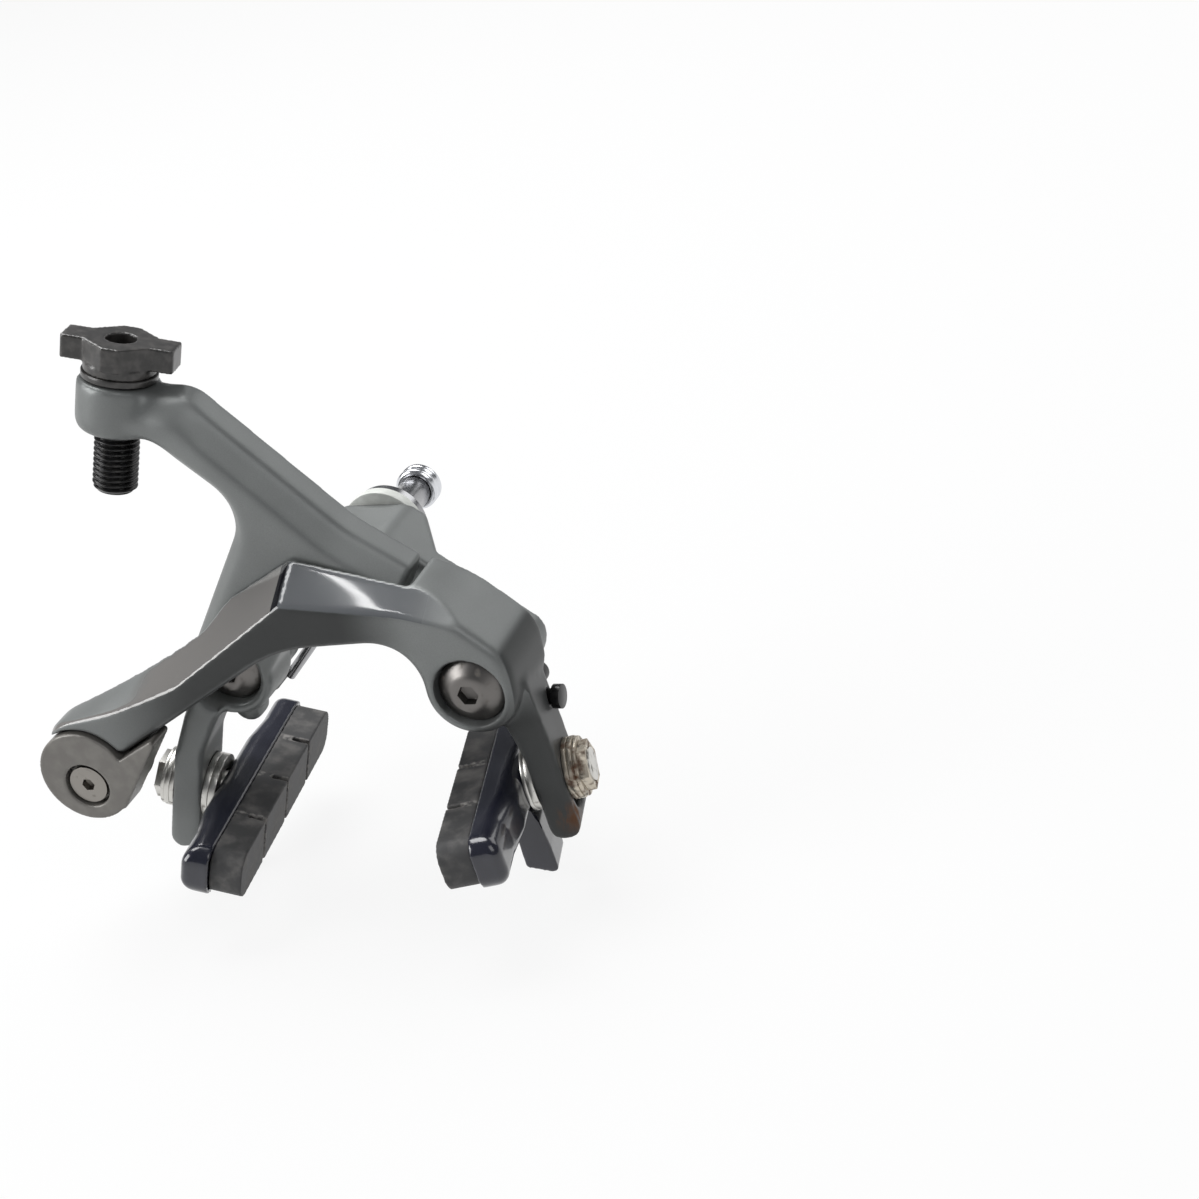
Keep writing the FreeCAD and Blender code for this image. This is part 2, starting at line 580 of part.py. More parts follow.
def make_return_spring():
    """Bowed wire under the bracket's arch, with its ends against the sliders of both legs."""
    body = new_body("return_spring")
    tip = d.post_out - slider_radius - d.spring_wire - d.clearance
    crown = -(d.bracket_arch + d.spring_wire + d.clearance)
    path = new_sketch(body, "XZ_Plane", "spring_path", -spring_plane)
    draw_outline(path, [
        (-tip, -d.post_drop), (-d.spring_half, crown, d.spring_round),
        (d.spring_half, crown, d.spring_round), (tip, -d.post_drop),
    ], False)
    along = FreeCAD.Vector((tip - d.spring_half).value, (crown + d.post_drop).value, 0)
    face = FreeCAD.Rotation(FreeCAD.Vector(0, 0, 1), along)
    section = new_sketch(body, "XZ_Plane", "spring_section", -spring_plane, -tip, -d.post_drop, face)
    draw_circle(section, 0.0, 0.0, d.spring_wire)
    add_feature(body, "AdditivePipe", "spring_wire", {"Profile": section, "Spine": (path, [])}, True)


# Front arm, which turns on the right pivot and carries the cable anchor and the right pad
def make_front_arm():
    body = new_body("front_arm")
    half, drop = d.pivot_half, d.pivot_drop
    boss_round = d.boss_foot - d.round_flat
    front = -d.cable_end_front
    slab(body, "arm_outline", [
        (-d.bar_end_left, -d.bar_end_drop, d.bar_end_round),
        (bar_under_x, bar_under_z, d.bar_end_round),
        (-d.arch_left, -d.arch_top, d.arch_round_left),
        (d.arch_right, -d.arch_top, d.arch_round_right),
        (half - d.boss_side, -(drop + d.boss_foot), boss_round),
        (half + d.boss_side, -(drop + d.boss_foot), boss_round),
        (half + d.boss_side, -d.corner_drop, d.boss_side),
        (d.shoulder_out, d.shoulder_rise, d.shoulder_round), (-d.apex_left, d.apex_rise),
    ], arm_back, front - d.clearance)
    far = d.bar_end_left + d.lever_radius
    behind = arm_back + d.clearance
    plan_cut(body, "behind_bar", [
        (-far, -d.cable_end_back), (-(d.back_knee + d.back_ramp), leg_pass, d.back_round),
        (-d.back_knee, bar_back, d.back_round),
        (d.step_right, bar_back), (d.step_right, behind), (-far, behind),
    ])
    ahead = front - d.clearance * 2
    plan_cut(body, "before_bar", [
        (-far, front), (-d.cable_end_turn, front, d.plan_round),
        (-d.apex_left, bar_front, d.plan_round), (d.front_knee, -d.boss_front, d.plan_round),
        (far, -d.boss_front), (far, ahead), (-far, ahead),
    ])
    cut_facets(body)
    round_front_arm(body)
    fit_front_arm(body)
    return body


def cut_facets(body):
    """Two sloping facets on top of the bar and the arch, which meet in a kink at the apex.

    The bar's facet keeps its slope for a while and then twists level toward the cable end.
    """
    depth = d.bar_depth
    high = d.apex_rise * 4
    arch_fall = (d.apex_rise - d.shoulder_rise) / (d.shoulder_out + d.apex_left)

    def station(left_of_apex, fall, steepness):
        """The wedge above a facet, in the plane this far left of the apex."""
        level = d.apex_rise - fall
        behind, before = bar_back + depth * 2, bar_back - depth * 2
        return (-(d.apex_left + left_of_apex), [
            (behind, level + steepness * 2), (behind, high), (before, high),
            (before, level - steepness * 2),
        ])

    inner, even, outer = -d.panel_overrun, d.panel_even, d.panel_run
    cut_wedge(body, "bar_facet", [
        station(inner, inner * bar_fall, d.panel_near), station(even, even * bar_fall, d.panel_level),
    ])
    cut_wedge(body, "bar_twist", [
        station(even, even * bar_fall, d.panel_level), station(outer, outer * bar_fall, d.panel_far),
    ])
    outer = d.shoulder_run
    cut_wedge(body, "arch_facet", [
        station(-inner, inner * arch_fall, d.panel_near),
        station(-outer, outer * arch_fall, d.shoulder_panel),
    ])


def add_spring_post(body, name, x):
    """Toe under a pivot boss, with the post that the return spring's slider turns on."""
    toe_front = arm_back - d.toe_depth
    post_end = spring_plane + d.slider_length * 0.5
    disc(body, name + "_toe", x, -d.post_drop, d.toe_radius, arm_back, toe_front)
    disc(body, name + "_post", x, -d.post_drop, d.post_radius, post_end, arm_back)


def face_for_flange(body, name, x):
    """Spot-face the back of an arm round its pivot, so that it clears the bush's flange."""
    floor = arm_back - d.flange_sink
    bore(body, name, x, -d.pivot_drop, d.bush_flange + d.clearance, floor, bracket_front)


def round_front_arm(body):
    """Soften the lower front edge, which runs smoothly from the cable end round the boss."""
    def lower_bar_edge(edge):
        middle, normals = face_normals(body, edge)
        faces_front = any(normal.y < -0.85 for normal in normals)
        faces_down = any(abs(normal.y) < 0.2 and normal.z < -0.5 for normal in normals)
        return faces_front and faces_down and edge.Length > d.bar_height.value * 2

    dress(body, "Fillet", "belly_edge", d.belly_round, lower_bar_edge)


def fit_front_arm(body):
    """Leg, spring post, lever eye, bores, lever recess and the slot of the link roller."""
    half, drop = d.pivot_half, d.pivot_drop
    x, z = -d.lever_left, -d.lever_drop
    RIGHT_LEG.raise_on(body)
    add_spring_post(body, "right", d.post_out)
    recess_floor = lever_back + d.clearance
    disc(body, "lever_eye", x, z, d.eye_radius, -d.eye_back, recess_floor)
    ahead = -d.lever_front - d.clearance
    bore(body, "lever_recess", x, z, d.lever_radius + d.clearance, ahead, recess_floor)
    journal = d.journal_radius + d.running_fit
    bore(body, "journal_bore", x, z, journal, lever_back, d.bar_depth - d.eye_back)
    seat = d.right_recess_depth - d.boss_front
    bore(body, "head_recess", half, -drop, d.head_recess, -d.boss_front - d.clearance, seat)
    bore(body, "pivot_bore", half, -drop, pivot_bore, seat, arm_back)
    face_for_flange(body, "right_flange_relief", half)
    RIGHT_LEG.cut_slot(body)
    hole = new_sketch(body, "YZ_Plane", "centring_hole", d.right_leg_root + d.leg_thick * 2)
    draw_circle(hole, -d.centring_set, -d.centring_drop, d.centring_shank + d.running_fit)
    pocket(body, hole, d.leg_thick * 3)
    cut_link_slot(body)


def link_path(turn):
    """Where the link roller stands in the front arm once both arms have closed by this much."""
    lift = d.roller_rise + d.pivot_drop
    apart = (cosine(turn) - 1.0) * d.pivot_half * 2 - lift * sine(turn) * 2
    return apart * cosine(turn), d.roller_rise + apart * sine(turn)


def cut_link_slot(body):
    """Blind slot in the back of the bar, bent as the roller's path is."""
    wide = d.roller_radius + d.clearance * 2
    half_x, half_z = link_path(d.closing_turn * 0.5)
    full_x, full_z = link_path(d.closing_turn)
    end_x, end_z = link_path(d.closing_turn + d.slot_overrun)
    start = d.roller_rise
    floor = bar_back - d.roller_width - d.pin_cap_height - d.clearance * 2
    sketch = draw_outline(new_sketch(body, "XZ_Plane", "link_slot", -floor), [
        (wide, start - wide, d.roller_radius), (wide, start + wide, d.roller_radius),
        (half_x, half_z + wide), (full_x, full_z + wide), (end_x, end_z + wide, d.roller_radius),
        (end_x, end_z - wide, d.roller_radius), (full_x, full_z - wide), (half_x, half_z - wide),
    ])
    pocket(body, sketch, bar_back - floor + d.clearance)


def make_centring_screw():
    behind = pad_plane + d.centring_set
    down = d.centring_drop - d.pivot_drop
    lean = down * tangent(d.right_leg_lean) + behind * tangent(d.right_pad_yaw)
    face = d.right_leg_root + d.leg_thick * 0.5 + lean
    under = d.centring_reach + d.centring_proud
    screw = turned("centring_screw", [
        (0.0, 0.0), (d.centring_shank, 0.0), (d.centring_shank, under), (d.centring_radius, under),
        (d.centring_radius, under + d.centring_head), (0.0, under + d.centring_head),
    ])
    place(screw, face - d.centring_reach, -d.centring_set, -d.centring_drop, RIGHTWARD)


# Quick-release lever and the cable anchor that it carries off centre
def make_lever():
    body = new_body("release_lever")
    x, z = -d.lever_left, -d.lever_drop
    front = -d.lever_front
    disc(body, "lever_disc", x, z, d.lever_radius, lever_back, front)
    tip_x, tip_z = x + d.lever_tip_right, z + d.lever_tip_rise
    slope = (bar_under_z + d.arch_top) / (bar_under_x + d.arch_left)
    root_x = x + d.lever_root
    slab(body, "lever_tail", [
        (root_x, tip_z - (tip_x - root_x) * slope), (x, z - d.lever_radius + d.lever_edge),
        (x + d.lever_heel, z - d.heel_drop), (tip_x, tip_z, d.lever_tip_round),
    ], lever_back, front)
    disc(body, "lever_journal", x, z, d.journal_radius, -d.eye_back, lever_back)
    hollow_floor = front + d.anchor_sink + d.anchor_head_depth + d.clearance
    anchor_z = z - d.anchor_throw
    bore(body, "anchor_hollow", x, anchor_z, d.lever_hollow, front, hollow_floor)
    bore(body, "anchor_hole", x, anchor_z, d.anchor_radius + d.running_fit, hollow_floor, -d.eye_back)
    return body


def make_anchor():
    """Bolt through the lever's eccentric hole, with the clamp disc and nut that grip the cable."""
    x, z = -d.lever_left, -(d.lever_drop + d.anchor_throw)
    head = d.anchor_head_depth
    clamp_front = -d.eye_back + d.clearance
    head_front = -d.lever_front + d.anchor_sink
    length = clamp_front + d.clamp_thick + d.anchor_nut_height - head_front
    bolt = turned("anchor_bolt", [
        (0.0, 0.0), (d.anchor_head, 0.0), (d.anchor_head, -head), (d.anchor_radius, -head),
        (d.anchor_radius, -length), (0.0, -length),
    ])
    drive_socket(bolt, "anchor_socket", d.anchor_socket, 0.0, head)
    place(bolt, x, head_front, z, FORWARD)
    hole = d.anchor_radius + d.running_fit
    clamp = turned("cable_clamp", [
        (hole, 0.0), (d.clamp_radius, 0.0), (d.clamp_radius, d.clamp_thick), (hole, d.clamp_thick),
    ])
    place(clamp, x, clamp_front, z, BACKWARD)
    nut = new_body("anchor_nut")
    outline = new_sketch(nut, "XY_Plane", "anchor_nut_outline")
    pad(nut, draw_outline(outline, hexagon(d.anchor_nut_radius)), d.anchor_nut_height)
    inside = new_sketch(nut, "XY_Plane", "anchor_nut_bore", d.anchor_nut_height)
    pocket(nut, draw_circle(inside, 0.0, 0.0, hole), d.anchor_nut_height)
    place(nut, x, clamp_front + d.clamp_thick, z, BACKWARD)


# Rear arm, which turns on the left pivot and carries the cable adjuster and the left pad
def make_rear_arm():
    body = new_body("rear_arm")
    half, drop, boss = d.pivot_half, d.pivot_drop, d.rear_boss
    boss_round = boss - d.round_flat
    slab(body, "web_outline", [
        (-d.barrel_left, d.barrel_rise + d.barrel_boss_height * 0.5 - d.neck_fall),
        (-d.neck_left, d.barrel_rise + d.neck_lift, d.neck_round),
        (d.hip_right, d.hip_rise, d.hip_round), (d.tail_right, d.tail_rise),
        (d.tail_right - d.tail_taper, d.tail_rise - d.tail_depth, d.tail_round),
        (-d.web_left, -d.web_low), (boss - half, -drop), (boss - half, -(drop + boss), boss_round),
        (-(half + boss), -(drop + boss), boss_round), (-d.flank_left, -d.flank_drop),
        (-d.throat_left, d.throat_rise, d.throat_round),
        (-d.jaw_left, d.barrel_rise - d.jaw_fall, d.jaw_round),
        (-d.barrel_left, d.barrel_rise - d.barrel_boss_height * 0.5 + d.neck_fall),
    ], arm_back, rear_arm_front)

    def on_ridge(edge):
        middle, normals = face_normals(body, edge)
        upper_right = any(normal.x > 0.3 and normal.z > 0.3 for normal in normals)
        return in_plane(edge, rear_arm_front) and upper_right

    def on_throat(edge):
        middle, normals = face_normals(body, edge)
        upper_left = any(normal.x < -0.3 and normal.z < 0.9 for normal in normals)
        return in_plane(edge, rear_arm_front) and upper_left and middle.z > -d.flank_drop.value

    dress(body, "Chamfer", "ridge", d.ridge_bevel, on_ridge)
    dress(body, "Chamfer", "throat_edge", d.throat_bevel, on_throat)
    low = d.barrel_boss_height * -0.5
    tilt = FreeCAD.Rotation(FreeCAD.Vector(0, 0, 1), -d.barrel_tilt.value)
    lean = FreeCAD.Rotation(FreeCAD.Vector(1, 0, 0), -d.barrel_lean.value)
    turn = tilt.multiply(lean)
    profile = new_sketch(body, "XZ_Plane", "barrel_boss", d.barrel_set, -d.barrel_left, d.barrel_rise, turn)
    turn_about(body, draw_outline(profile, [
        (0.0, low), (d.barrel_boss, low, d.barrel_boss_round), (d.barrel_boss, -low), (0.0, -low),
    ]))
    LEFT_LEG.raise_on(body)
    add_spring_post(body, "left", -d.post_out)
    inside = new_sketch(body, "XZ_Plane", "barrel_bore", d.barrel_set, -d.barrel_left, d.barrel_rise, turn)
    bottom, top = low * 3, low * -3
    bore_radius = d.thread_radius + d.running_fit
    turn_about(body, draw_outline(inside, [
        (0.0, bottom), (bore_radius, bottom), (bore_radius, top), (0.0, top),
    ]), "Groove")
    seat = rear_arm_front + d.left_recess_depth
    bore(body, "left_head_recess", -half, -drop, d.head_recess, pad_plane - d.leg_depth, seat)
    bore(body, "left_pivot_bore", -half, -drop, pivot_bore, seat, arm_back)
    face_for_flange(body, "left_flange_relief", -half)
    LEFT_LEG.cut_slot(body)
    pin_floor = rear_arm_front + d.pin_depth
    bore(body, "pin_hole", 0.0, d.roller_rise, d.roller_pin, rear_arm_front, pin_floor)


def make_link_roller():
    """Roller on the rear arm's tail that runs in the front arm's slot, so the arms move together."""
    roller_back = bar_back - d.roller_play
    width = d.roller_width
    hole = d.roller_pin + d.running_fit
    roller = turned("link_roller", [
        (hole, 0.0), (d.roller_radius, 0.0), (d.roller_radius, width), (hole, width),
    ])
    place(roller, 0.0, roller_back, d.roller_rise, FORWARD)
    back = rear_arm_front + d.pin_depth
    cap = back - roller_back + width + d.roller_play
    pin = turned("roller_pin", [
        (0.0, 0.0), (d.roller_pin, 0.0), (d.roller_pin, cap), (d.pin_cap, cap),
        (d.pin_cap, cap + d.pin_cap_height), (0.0, cap + d.pin_cap_height),
    ])
    place(pin, 0.0, back, d.roller_rise, FORWARD)


def make_sliders():
    hole = d.post_radius + d.running_fit
    for name, out in (("left", -d.post_out), ("right", d.post_out)):
        slider = turned(name + "_spring_slider", [
            (hole, 0.0), (slider_radius, 0.0), (slider_radius, d.slider_length), (hole, d.slider_length),
        ])
        place(slider, out, spring_plane + d.slider_length * 0.5, -d.post_drop, FORWARD)


# Cable adjuster: hollow threaded barrel, winged knob and the ring under it
def on_barrel(node, height):
    """Put a piece on the barrel's axis, this far above the middle of the boss."""
    x = height * barrel_axis[0] - d.barrel_left
    y = height * barrel_axis[1] - d.barrel_set
    z = height * barrel_axis[2] + d.barrel_rise
    return place(node, x, y, z, BARREL)


def make_adjuster():
    boss_top = d.barrel_boss_height * 0.5
    ring_low = boss_top + d.clearance
    knob_low = ring_low + d.ring_height
    neck = d.knob_neck_height
    knob_top = knob_low + neck + d.knob_height
    hole = d.thread_radius + d.running_fit
    ring = turned("adjuster_ring", [
        (hole, 0.0), (d.ring_radius, 0.0), (d.ring_radius, d.ring_height), (hole, d.ring_height),
    ])
    on_barrel(ring, ring_low)
    low = -boss_top - d.thread_below
    length = knob_top - d.ferrule_depth * 0.5 - low
    socket = length - d.ferrule_depth * 0.5
    barrel = turned("adjuster_barrel", [
        (d.cable_radius, 0.0), (d.thread_radius - d.thread_chamfer, 0.0),
        (d.thread_radius, d.thread_chamfer), (d.thread_radius, length), (d.ferrule_radius, length),
        (d.ferrule_radius, socket), (d.cable_radius, socket),
    ])
    on_barrel(barrel, low)
    knob = new_body("adjuster_knob")
    tip = d.wing_half_width
    quarter = [(d.knob_wing, tip, d.wing_round), (d.knob_root, tip), (d.knob_flat, d.knob_half_width)]
    outline = quarter + [(-c[0],) + tuple(c[1:]) for c in reversed(quarter)]
    outline += [(-c[0], -c[1]) + tuple(c[2:]) for c in quarter]
    outline += [(c[0], -c[1]) + tuple(c[2:]) for c in reversed(quarter)]
    sketch = new_sketch(knob, "XY_Plane", "knob_outline", neck, 0.0, 0.0,
                        FreeCAD.Rotation(FreeCAD.Vector(0, 0, 1), d.knob_turn.value))
    pad(knob, draw_outline(sketch, outline), d.knob_height)
    pad(knob, draw_circle(new_sketch(knob, "XY_Plane", "knob_neck"), 0.0, 0.0, d.knob_neck), neck)
    inside = new_sketch(knob, "XZ_Plane", "knob_bore")
    seat = knob_top - d.ferrule_depth * 0.5 - knob_low
    turn_about(knob, draw_outline(inside, [
        (0.0, 0.0), (d.thread_radius, 0.0), (d.thread_radius, seat), (d.ferrule_radius, seat),
        (d.ferrule_radius, neck + d.knob_height), (0.0, neck + d.knob_height),
    ]), "Groove")
    on_barrel(knob, knob_low)


# Pad sets, one on each leg
def make_pad_set(leg):
    name = leg.name
    face = leg.half
    inner_top = d.cup_thick + getattr(d, name + "_dome_thick")
    outer_top = d.outer_cup_thick + d.outer_dome_thick
    make_dished_pair(leg, "_inner", 1.0, d.dish_radius, d.cup_thick, inner_top)
    make_dished_pair(leg, "_outer", -1.0, d.outer_dish_radius, d.outer_cup_thick, outer_top)
    holder_back = face + inner_top
    nut_low = face + outer_top
    make_pad_nut(leg, nut_low)
    stud_end = nut_low + d.pad_nut_height + d.stud_proud
    stud = turned(name + "_pad_stud", [
        (0.0, -stud_end), (d.stud_radius, -stud_end), (d.stud_radius, holder_back + d.stud_seat),
        (0.0, holder_back + d.stud_seat),
    ])
    leg.set_on(stud, 0.0)
    make_holder(leg, holder_back)
    make_brake_pad(leg, holder_back)
    keeper = turned(name + "_pad_keeper", [
        (0.0, 0.0), (d.keeper_radius, 0.0), (d.keeper_radius, d.keeper_length), (0.0, d.keeper_length),
    ])
    leg.set_on(keeper, holder_back + d.holder_rise - d.clearance, d.keeper_inset - holder_length * 0.5)


def make_dished_pair(leg, name, way, rim, cup, top):
    """Cup against the leg and dome in the cup, which let the pad be set at an angle."""
    hole = d.stud_radius + d.stud_room
    dish = cup - d.dish_sink
    cup_washer = turned(leg.name + name + "_cup", [
        (hole, 0.0), (rim, 0.0), (rim, way * cup), (hole, way * dish),
    ])
    leg.set_on(cup_washer, way * leg.half)
    dome_washer = turned(leg.name + name + "_dome", [
        (hole, way * dish), (rim, way * cup), (rim, way * top), (hole, way * top),
    ])
    leg.set_on(dome_washer, way * leg.half)


def make_pad_nut(leg, low):
    """Flanged nut that clamps the pad set to the leg from outside."""
    body = new_body(leg.name + "_pad_nut")
    flange, height = d.flange_height, d.pad_nut_height
    base = new_sketch(body, "XY_Plane", leg.name + "_nut_flange", -flange)
    pad(body, draw_circle(base, 0.0, 0.0, d.pad_nut_flange), flange)
    prism = new_sketch(body, "XY_Plane", leg.name + "_nut_prism", -height)
    pad(body, draw_outline(prism, hexagon(d.pad_nut_radius)), height)
    hole = new_sketch(body, "XY_Plane", leg.name + "_nut_hole")
    pocket(body, draw_circle(hole, 0.0, 0.0, d.stud_radius + d.running_fit), height)
    leg.set_on(body, -low)


def make_holder(leg, back):
    """Cast shoe, thickest at the stud, with a channel for the rubber and a wheel guide below."""
    body = new_body(leg.name + "_pad_holder")
    long, boss, ramp = holder_length * 0.5, d.holder_boss * 0.5, d.holder_ramp
    thick, rise = d.holder_thick, d.holder_rise
    plan = new_sketch(body, "XZ_Plane", leg.name + "_holder_plan")
    draw_outline(plan, [
        (-long, rise, d.holder_end), (-boss - ramp, rise, ramp), (-boss, 0.0, ramp), (boss, 0.0, ramp),
        (boss + ramp, rise, ramp), (long, rise, d.holder_end), (long, thick), (-long, thick),
    ])
    pad(body, plan, d.holder_height, True)

    def end_corner(edge):
        box = edge.BoundBox
        level = box.ZMax - box.ZMin > d.holder_end.value and box.XMax - box.XMin < 1e-3
        return level and abs(box.XMin) > long.value - 1e-3 and box.YMax - box.YMin < 1e-3

    dress(body, "Fillet", leg.name + "_holder_ends", d.holder_round, end_corner)
    channel = new_sketch(body, "YZ_Plane", leg.name + "_channel", d.pad_length * 0.5)
    key = d.pad_key_height * 0.5
    draw_outline(channel, [
        (-key, thick - d.pad_seat), (key, thick - d.pad_seat), (key, thick), (-key, thick),
    ])
    pocket(body, channel, d.pad_length)
    guide = new_sketch(body, "YZ_Plane", leg.name + "_guide")
    draw_outline(guide, [
        (-d.guide_root, rise), (-d.guide_root, thick - d.pad_seat),
        (-d.guide_heel, d.guide_in, d.guide_round), (-d.guide_drop, -d.guide_out, d.guide_round),
        (-d.guide_knee, -d.guide_out, d.guide_round), (-d.guide_top, 0.0),
    ])
    pad(body, guide, d.guide_width, True)
    bore_sketch = new_sketch(body, "XY_Plane", leg.name + "_stud_hole", d.stud_seat)
    pocket(body, draw_circle(bore_sketch, 0.0, 0.0, d.stud_radius), d.stud_seat)
    screw_top = rise - d.clearance + d.keeper_length
    screw = new_sketch(body, "XY_Plane", leg.name + "_keeper_hole", screw_top)
    draw_circle(screw, d.keeper_inset - holder_length * 0.5, 0.0, d.keeper_radius)
    pocket(body, screw, d.keeper_length)
    leg.set_on(body, back)


def make_brake_pad(leg, back):
    """Rubber block keyed into the shoe, with slits across its braking face."""
    body = new_body(leg.name + "_brake_pad")
    long, face = d.pad_length * 0.5, d.pad_height * 0.5
    block = new_sketch(body, "XY_Plane", leg.name + "_pad_block", d.holder_thick)
    bend = d.pad_round
    draw_outline(block, [
        (-long, -face, bend), (long, -face, bend), (long, face, bend), (-long, face, bend),
    ])
    pad(body, block, d.pad_thick)
    key = d.pad_key_height * 0.5 - d.running_fit
    tongue = new_sketch(body, "XY_Plane", leg.name + "_pad_key", d.holder_thick - d.pad_seat)
    draw_outline(tongue, [
        (bend - long, -key), (long - bend, -key), (long - bend, key), (bend - long, key),
    ])
    pad(body, tongue, d.pad_seat)
    first = -d.slit_pitch
    slit = new_sketch(body, "XZ_Plane", leg.name + "_slit", d.pad_height * 0.5)
    half = d.slit_width * 0.5
    top = d.holder_thick + d.pad_thick
    draw_outline(slit, [
        (first - half, top - d.slit_depth), (first + half, top - d.slit_depth),
        (first + half, top), (first - half, top),
    ])
    cut = pocket(body, slit, d.pad_height)
    row = body.newObject("PartDesign::LinearPattern", leg.name + "_slit_row")
    row.Originals = [cut]
    row.Direction = (slit, ["H_Axis"])
    row.Occurrences = 3
    row.setExpression("Length", (d.slit_pitch * 2).formula)
    body.Tip = row
    DOCUMENT.recompute()
    leg.set_on(body, back)


def write_parts():
    """Check every object and every shape, then write one file for each node."""
    DOCUMENT.recompute()
    for thing in DOCUMENT.Objects:
        if "Invalid" in thing.State or "Error" in thing.State:
            raise RuntimeError("%s failed: %s" % (thing.Label, thing.State))
    for node in NODES:
        if node.Shape.isNull() or not node.Shape.isValid() or len(node.Shape.Solids) != 1:
            raise RuntimeError("%s is not one good solid" % node.Label)
    os.makedirs("parts", exist_ok=True)
    for node in NODES:
        node.Shape.exportStep("parts/%s.step" % node.Label)


make_bracket()
make_centre_bolt()
make_washers()
make_pivot("left", -1.0, rear_arm_front + d.left_recess_depth - d.clearance)
make_pivot("right", 1.0, d.right_recess_depth - d.boss_front - d.clearance)
make_return_spring()
make_front_arm()
make_centring_screw()
make_lever()
make_anchor()
make_rear_arm()
make_link_roller()
make_sliders()
make_adjuster()
make_pad_set(LEFT_LEG)
make_pad_set(RIGHT_LEG)
write_parts()
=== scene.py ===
# %% [markdown]
# # A dual-pivot caliper brake
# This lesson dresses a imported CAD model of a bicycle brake: two crossed, forged arms on an arch bracket,
# a threaded cable adjuster, a release lever and two rubber pads in glossy shoes. The CAD model is the
# frame. It already has every piece in its place, in metres, so nothing here is fitted by eye.

# %% Load the frame
import json
import math
import bmesh
import bpy
import numpy as np
from mathutils import Matrix, Vector

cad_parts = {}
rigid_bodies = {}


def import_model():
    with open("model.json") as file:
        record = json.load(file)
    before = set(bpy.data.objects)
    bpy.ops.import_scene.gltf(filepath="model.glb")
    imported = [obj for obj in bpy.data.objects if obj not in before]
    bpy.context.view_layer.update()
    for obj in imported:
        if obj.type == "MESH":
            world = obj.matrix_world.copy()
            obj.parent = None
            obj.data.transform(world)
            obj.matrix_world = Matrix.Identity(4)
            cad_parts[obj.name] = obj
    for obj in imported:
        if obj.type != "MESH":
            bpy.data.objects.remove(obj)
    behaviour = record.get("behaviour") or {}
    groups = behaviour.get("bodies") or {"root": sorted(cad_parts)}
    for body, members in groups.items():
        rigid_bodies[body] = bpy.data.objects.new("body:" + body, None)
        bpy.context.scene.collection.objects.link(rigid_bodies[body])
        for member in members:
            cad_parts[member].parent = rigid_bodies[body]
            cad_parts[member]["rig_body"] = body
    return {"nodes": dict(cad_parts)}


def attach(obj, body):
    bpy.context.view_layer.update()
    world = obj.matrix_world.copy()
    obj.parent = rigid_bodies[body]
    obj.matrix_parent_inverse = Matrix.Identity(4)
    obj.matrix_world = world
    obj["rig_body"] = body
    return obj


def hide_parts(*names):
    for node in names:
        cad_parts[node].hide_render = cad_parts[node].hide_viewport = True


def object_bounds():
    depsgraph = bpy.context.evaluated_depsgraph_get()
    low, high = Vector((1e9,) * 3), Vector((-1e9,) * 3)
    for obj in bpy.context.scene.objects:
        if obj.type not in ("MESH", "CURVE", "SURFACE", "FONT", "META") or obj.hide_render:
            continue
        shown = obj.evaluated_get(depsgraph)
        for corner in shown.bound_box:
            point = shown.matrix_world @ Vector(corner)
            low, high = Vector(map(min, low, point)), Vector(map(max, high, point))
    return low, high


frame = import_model()
cad_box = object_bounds()
scene = bpy.context.scene
scene.view_settings.view_transform = "Standard"
MM = 0.001
print("nodes in the frame:", len(frame["nodes"]))

# %% [markdown]
# ## The camera
# The photograph looks down on the brake from its front right. Its angle was found by matching known
# points of the brake, such as the pivots, the mounting bolt and the adjuster, so the camera is built from
# those angles: a viewing direction, a roll about it, and a shift of the camera in its own plane.

# %% Set up the camera
PHOTO_PIXELS = 1199
FOCAL_PIXELS = 2349
AZIMUTH, ELEVATION, ROLL = (math.radians(angle) for angle in (23.2, 27.1, -11.6))
CAMERA_RIGHT, CAMERA_UP, CAMERA_DISTANCE = 38.1 * MM, -14.5 * MM, 430.3 * MM

backward = Vector((
    math.sin(AZIMUTH) * math.cos(ELEVATION), -math.cos(AZIMUTH) * math.cos(ELEVATION), math.sin(ELEVATION)))
level_right = Vector((math.cos(AZIMUTH), math.sin(AZIMUTH), 0))
level_up = backward.cross(level_right)
right = math.cos(ROLL) * level_right + math.sin(ROLL) * level_up
up = math.cos(ROLL) * level_up - math.sin(ROLL) * level_right
camera = bpy.data.objects.new("camera", bpy.data.cameras.new("camera"))
scene.collection.objects.link(camera)
camera.data.lens = camera.data.sensor_width * FOCAL_PIXELS / PHOTO_PIXELS
camera.data.clip_start = 10 * MM
turn = Matrix((right, up, backward)).transposed().to_4x4()
place = CAMERA_RIGHT * right + CAMERA_UP * up + CAMERA_DISTANCE * backward
camera.matrix_world = Matrix.Translation(place) @ turn
scene.camera = camera
print("camera at", [round(c, 4) for c in place], "lens", round(camera.data.lens, 1))

# %% [markdown]
# ## Shader maths in plain Python
# A finish is a small program of nodes. Writing `1 - mask` is easier to read than adding a Math node and
# two links, so a socket is wrapped in a class whose operators add those nodes. Everything else comes from
# one method that takes a node's type, its settings and its sockets.

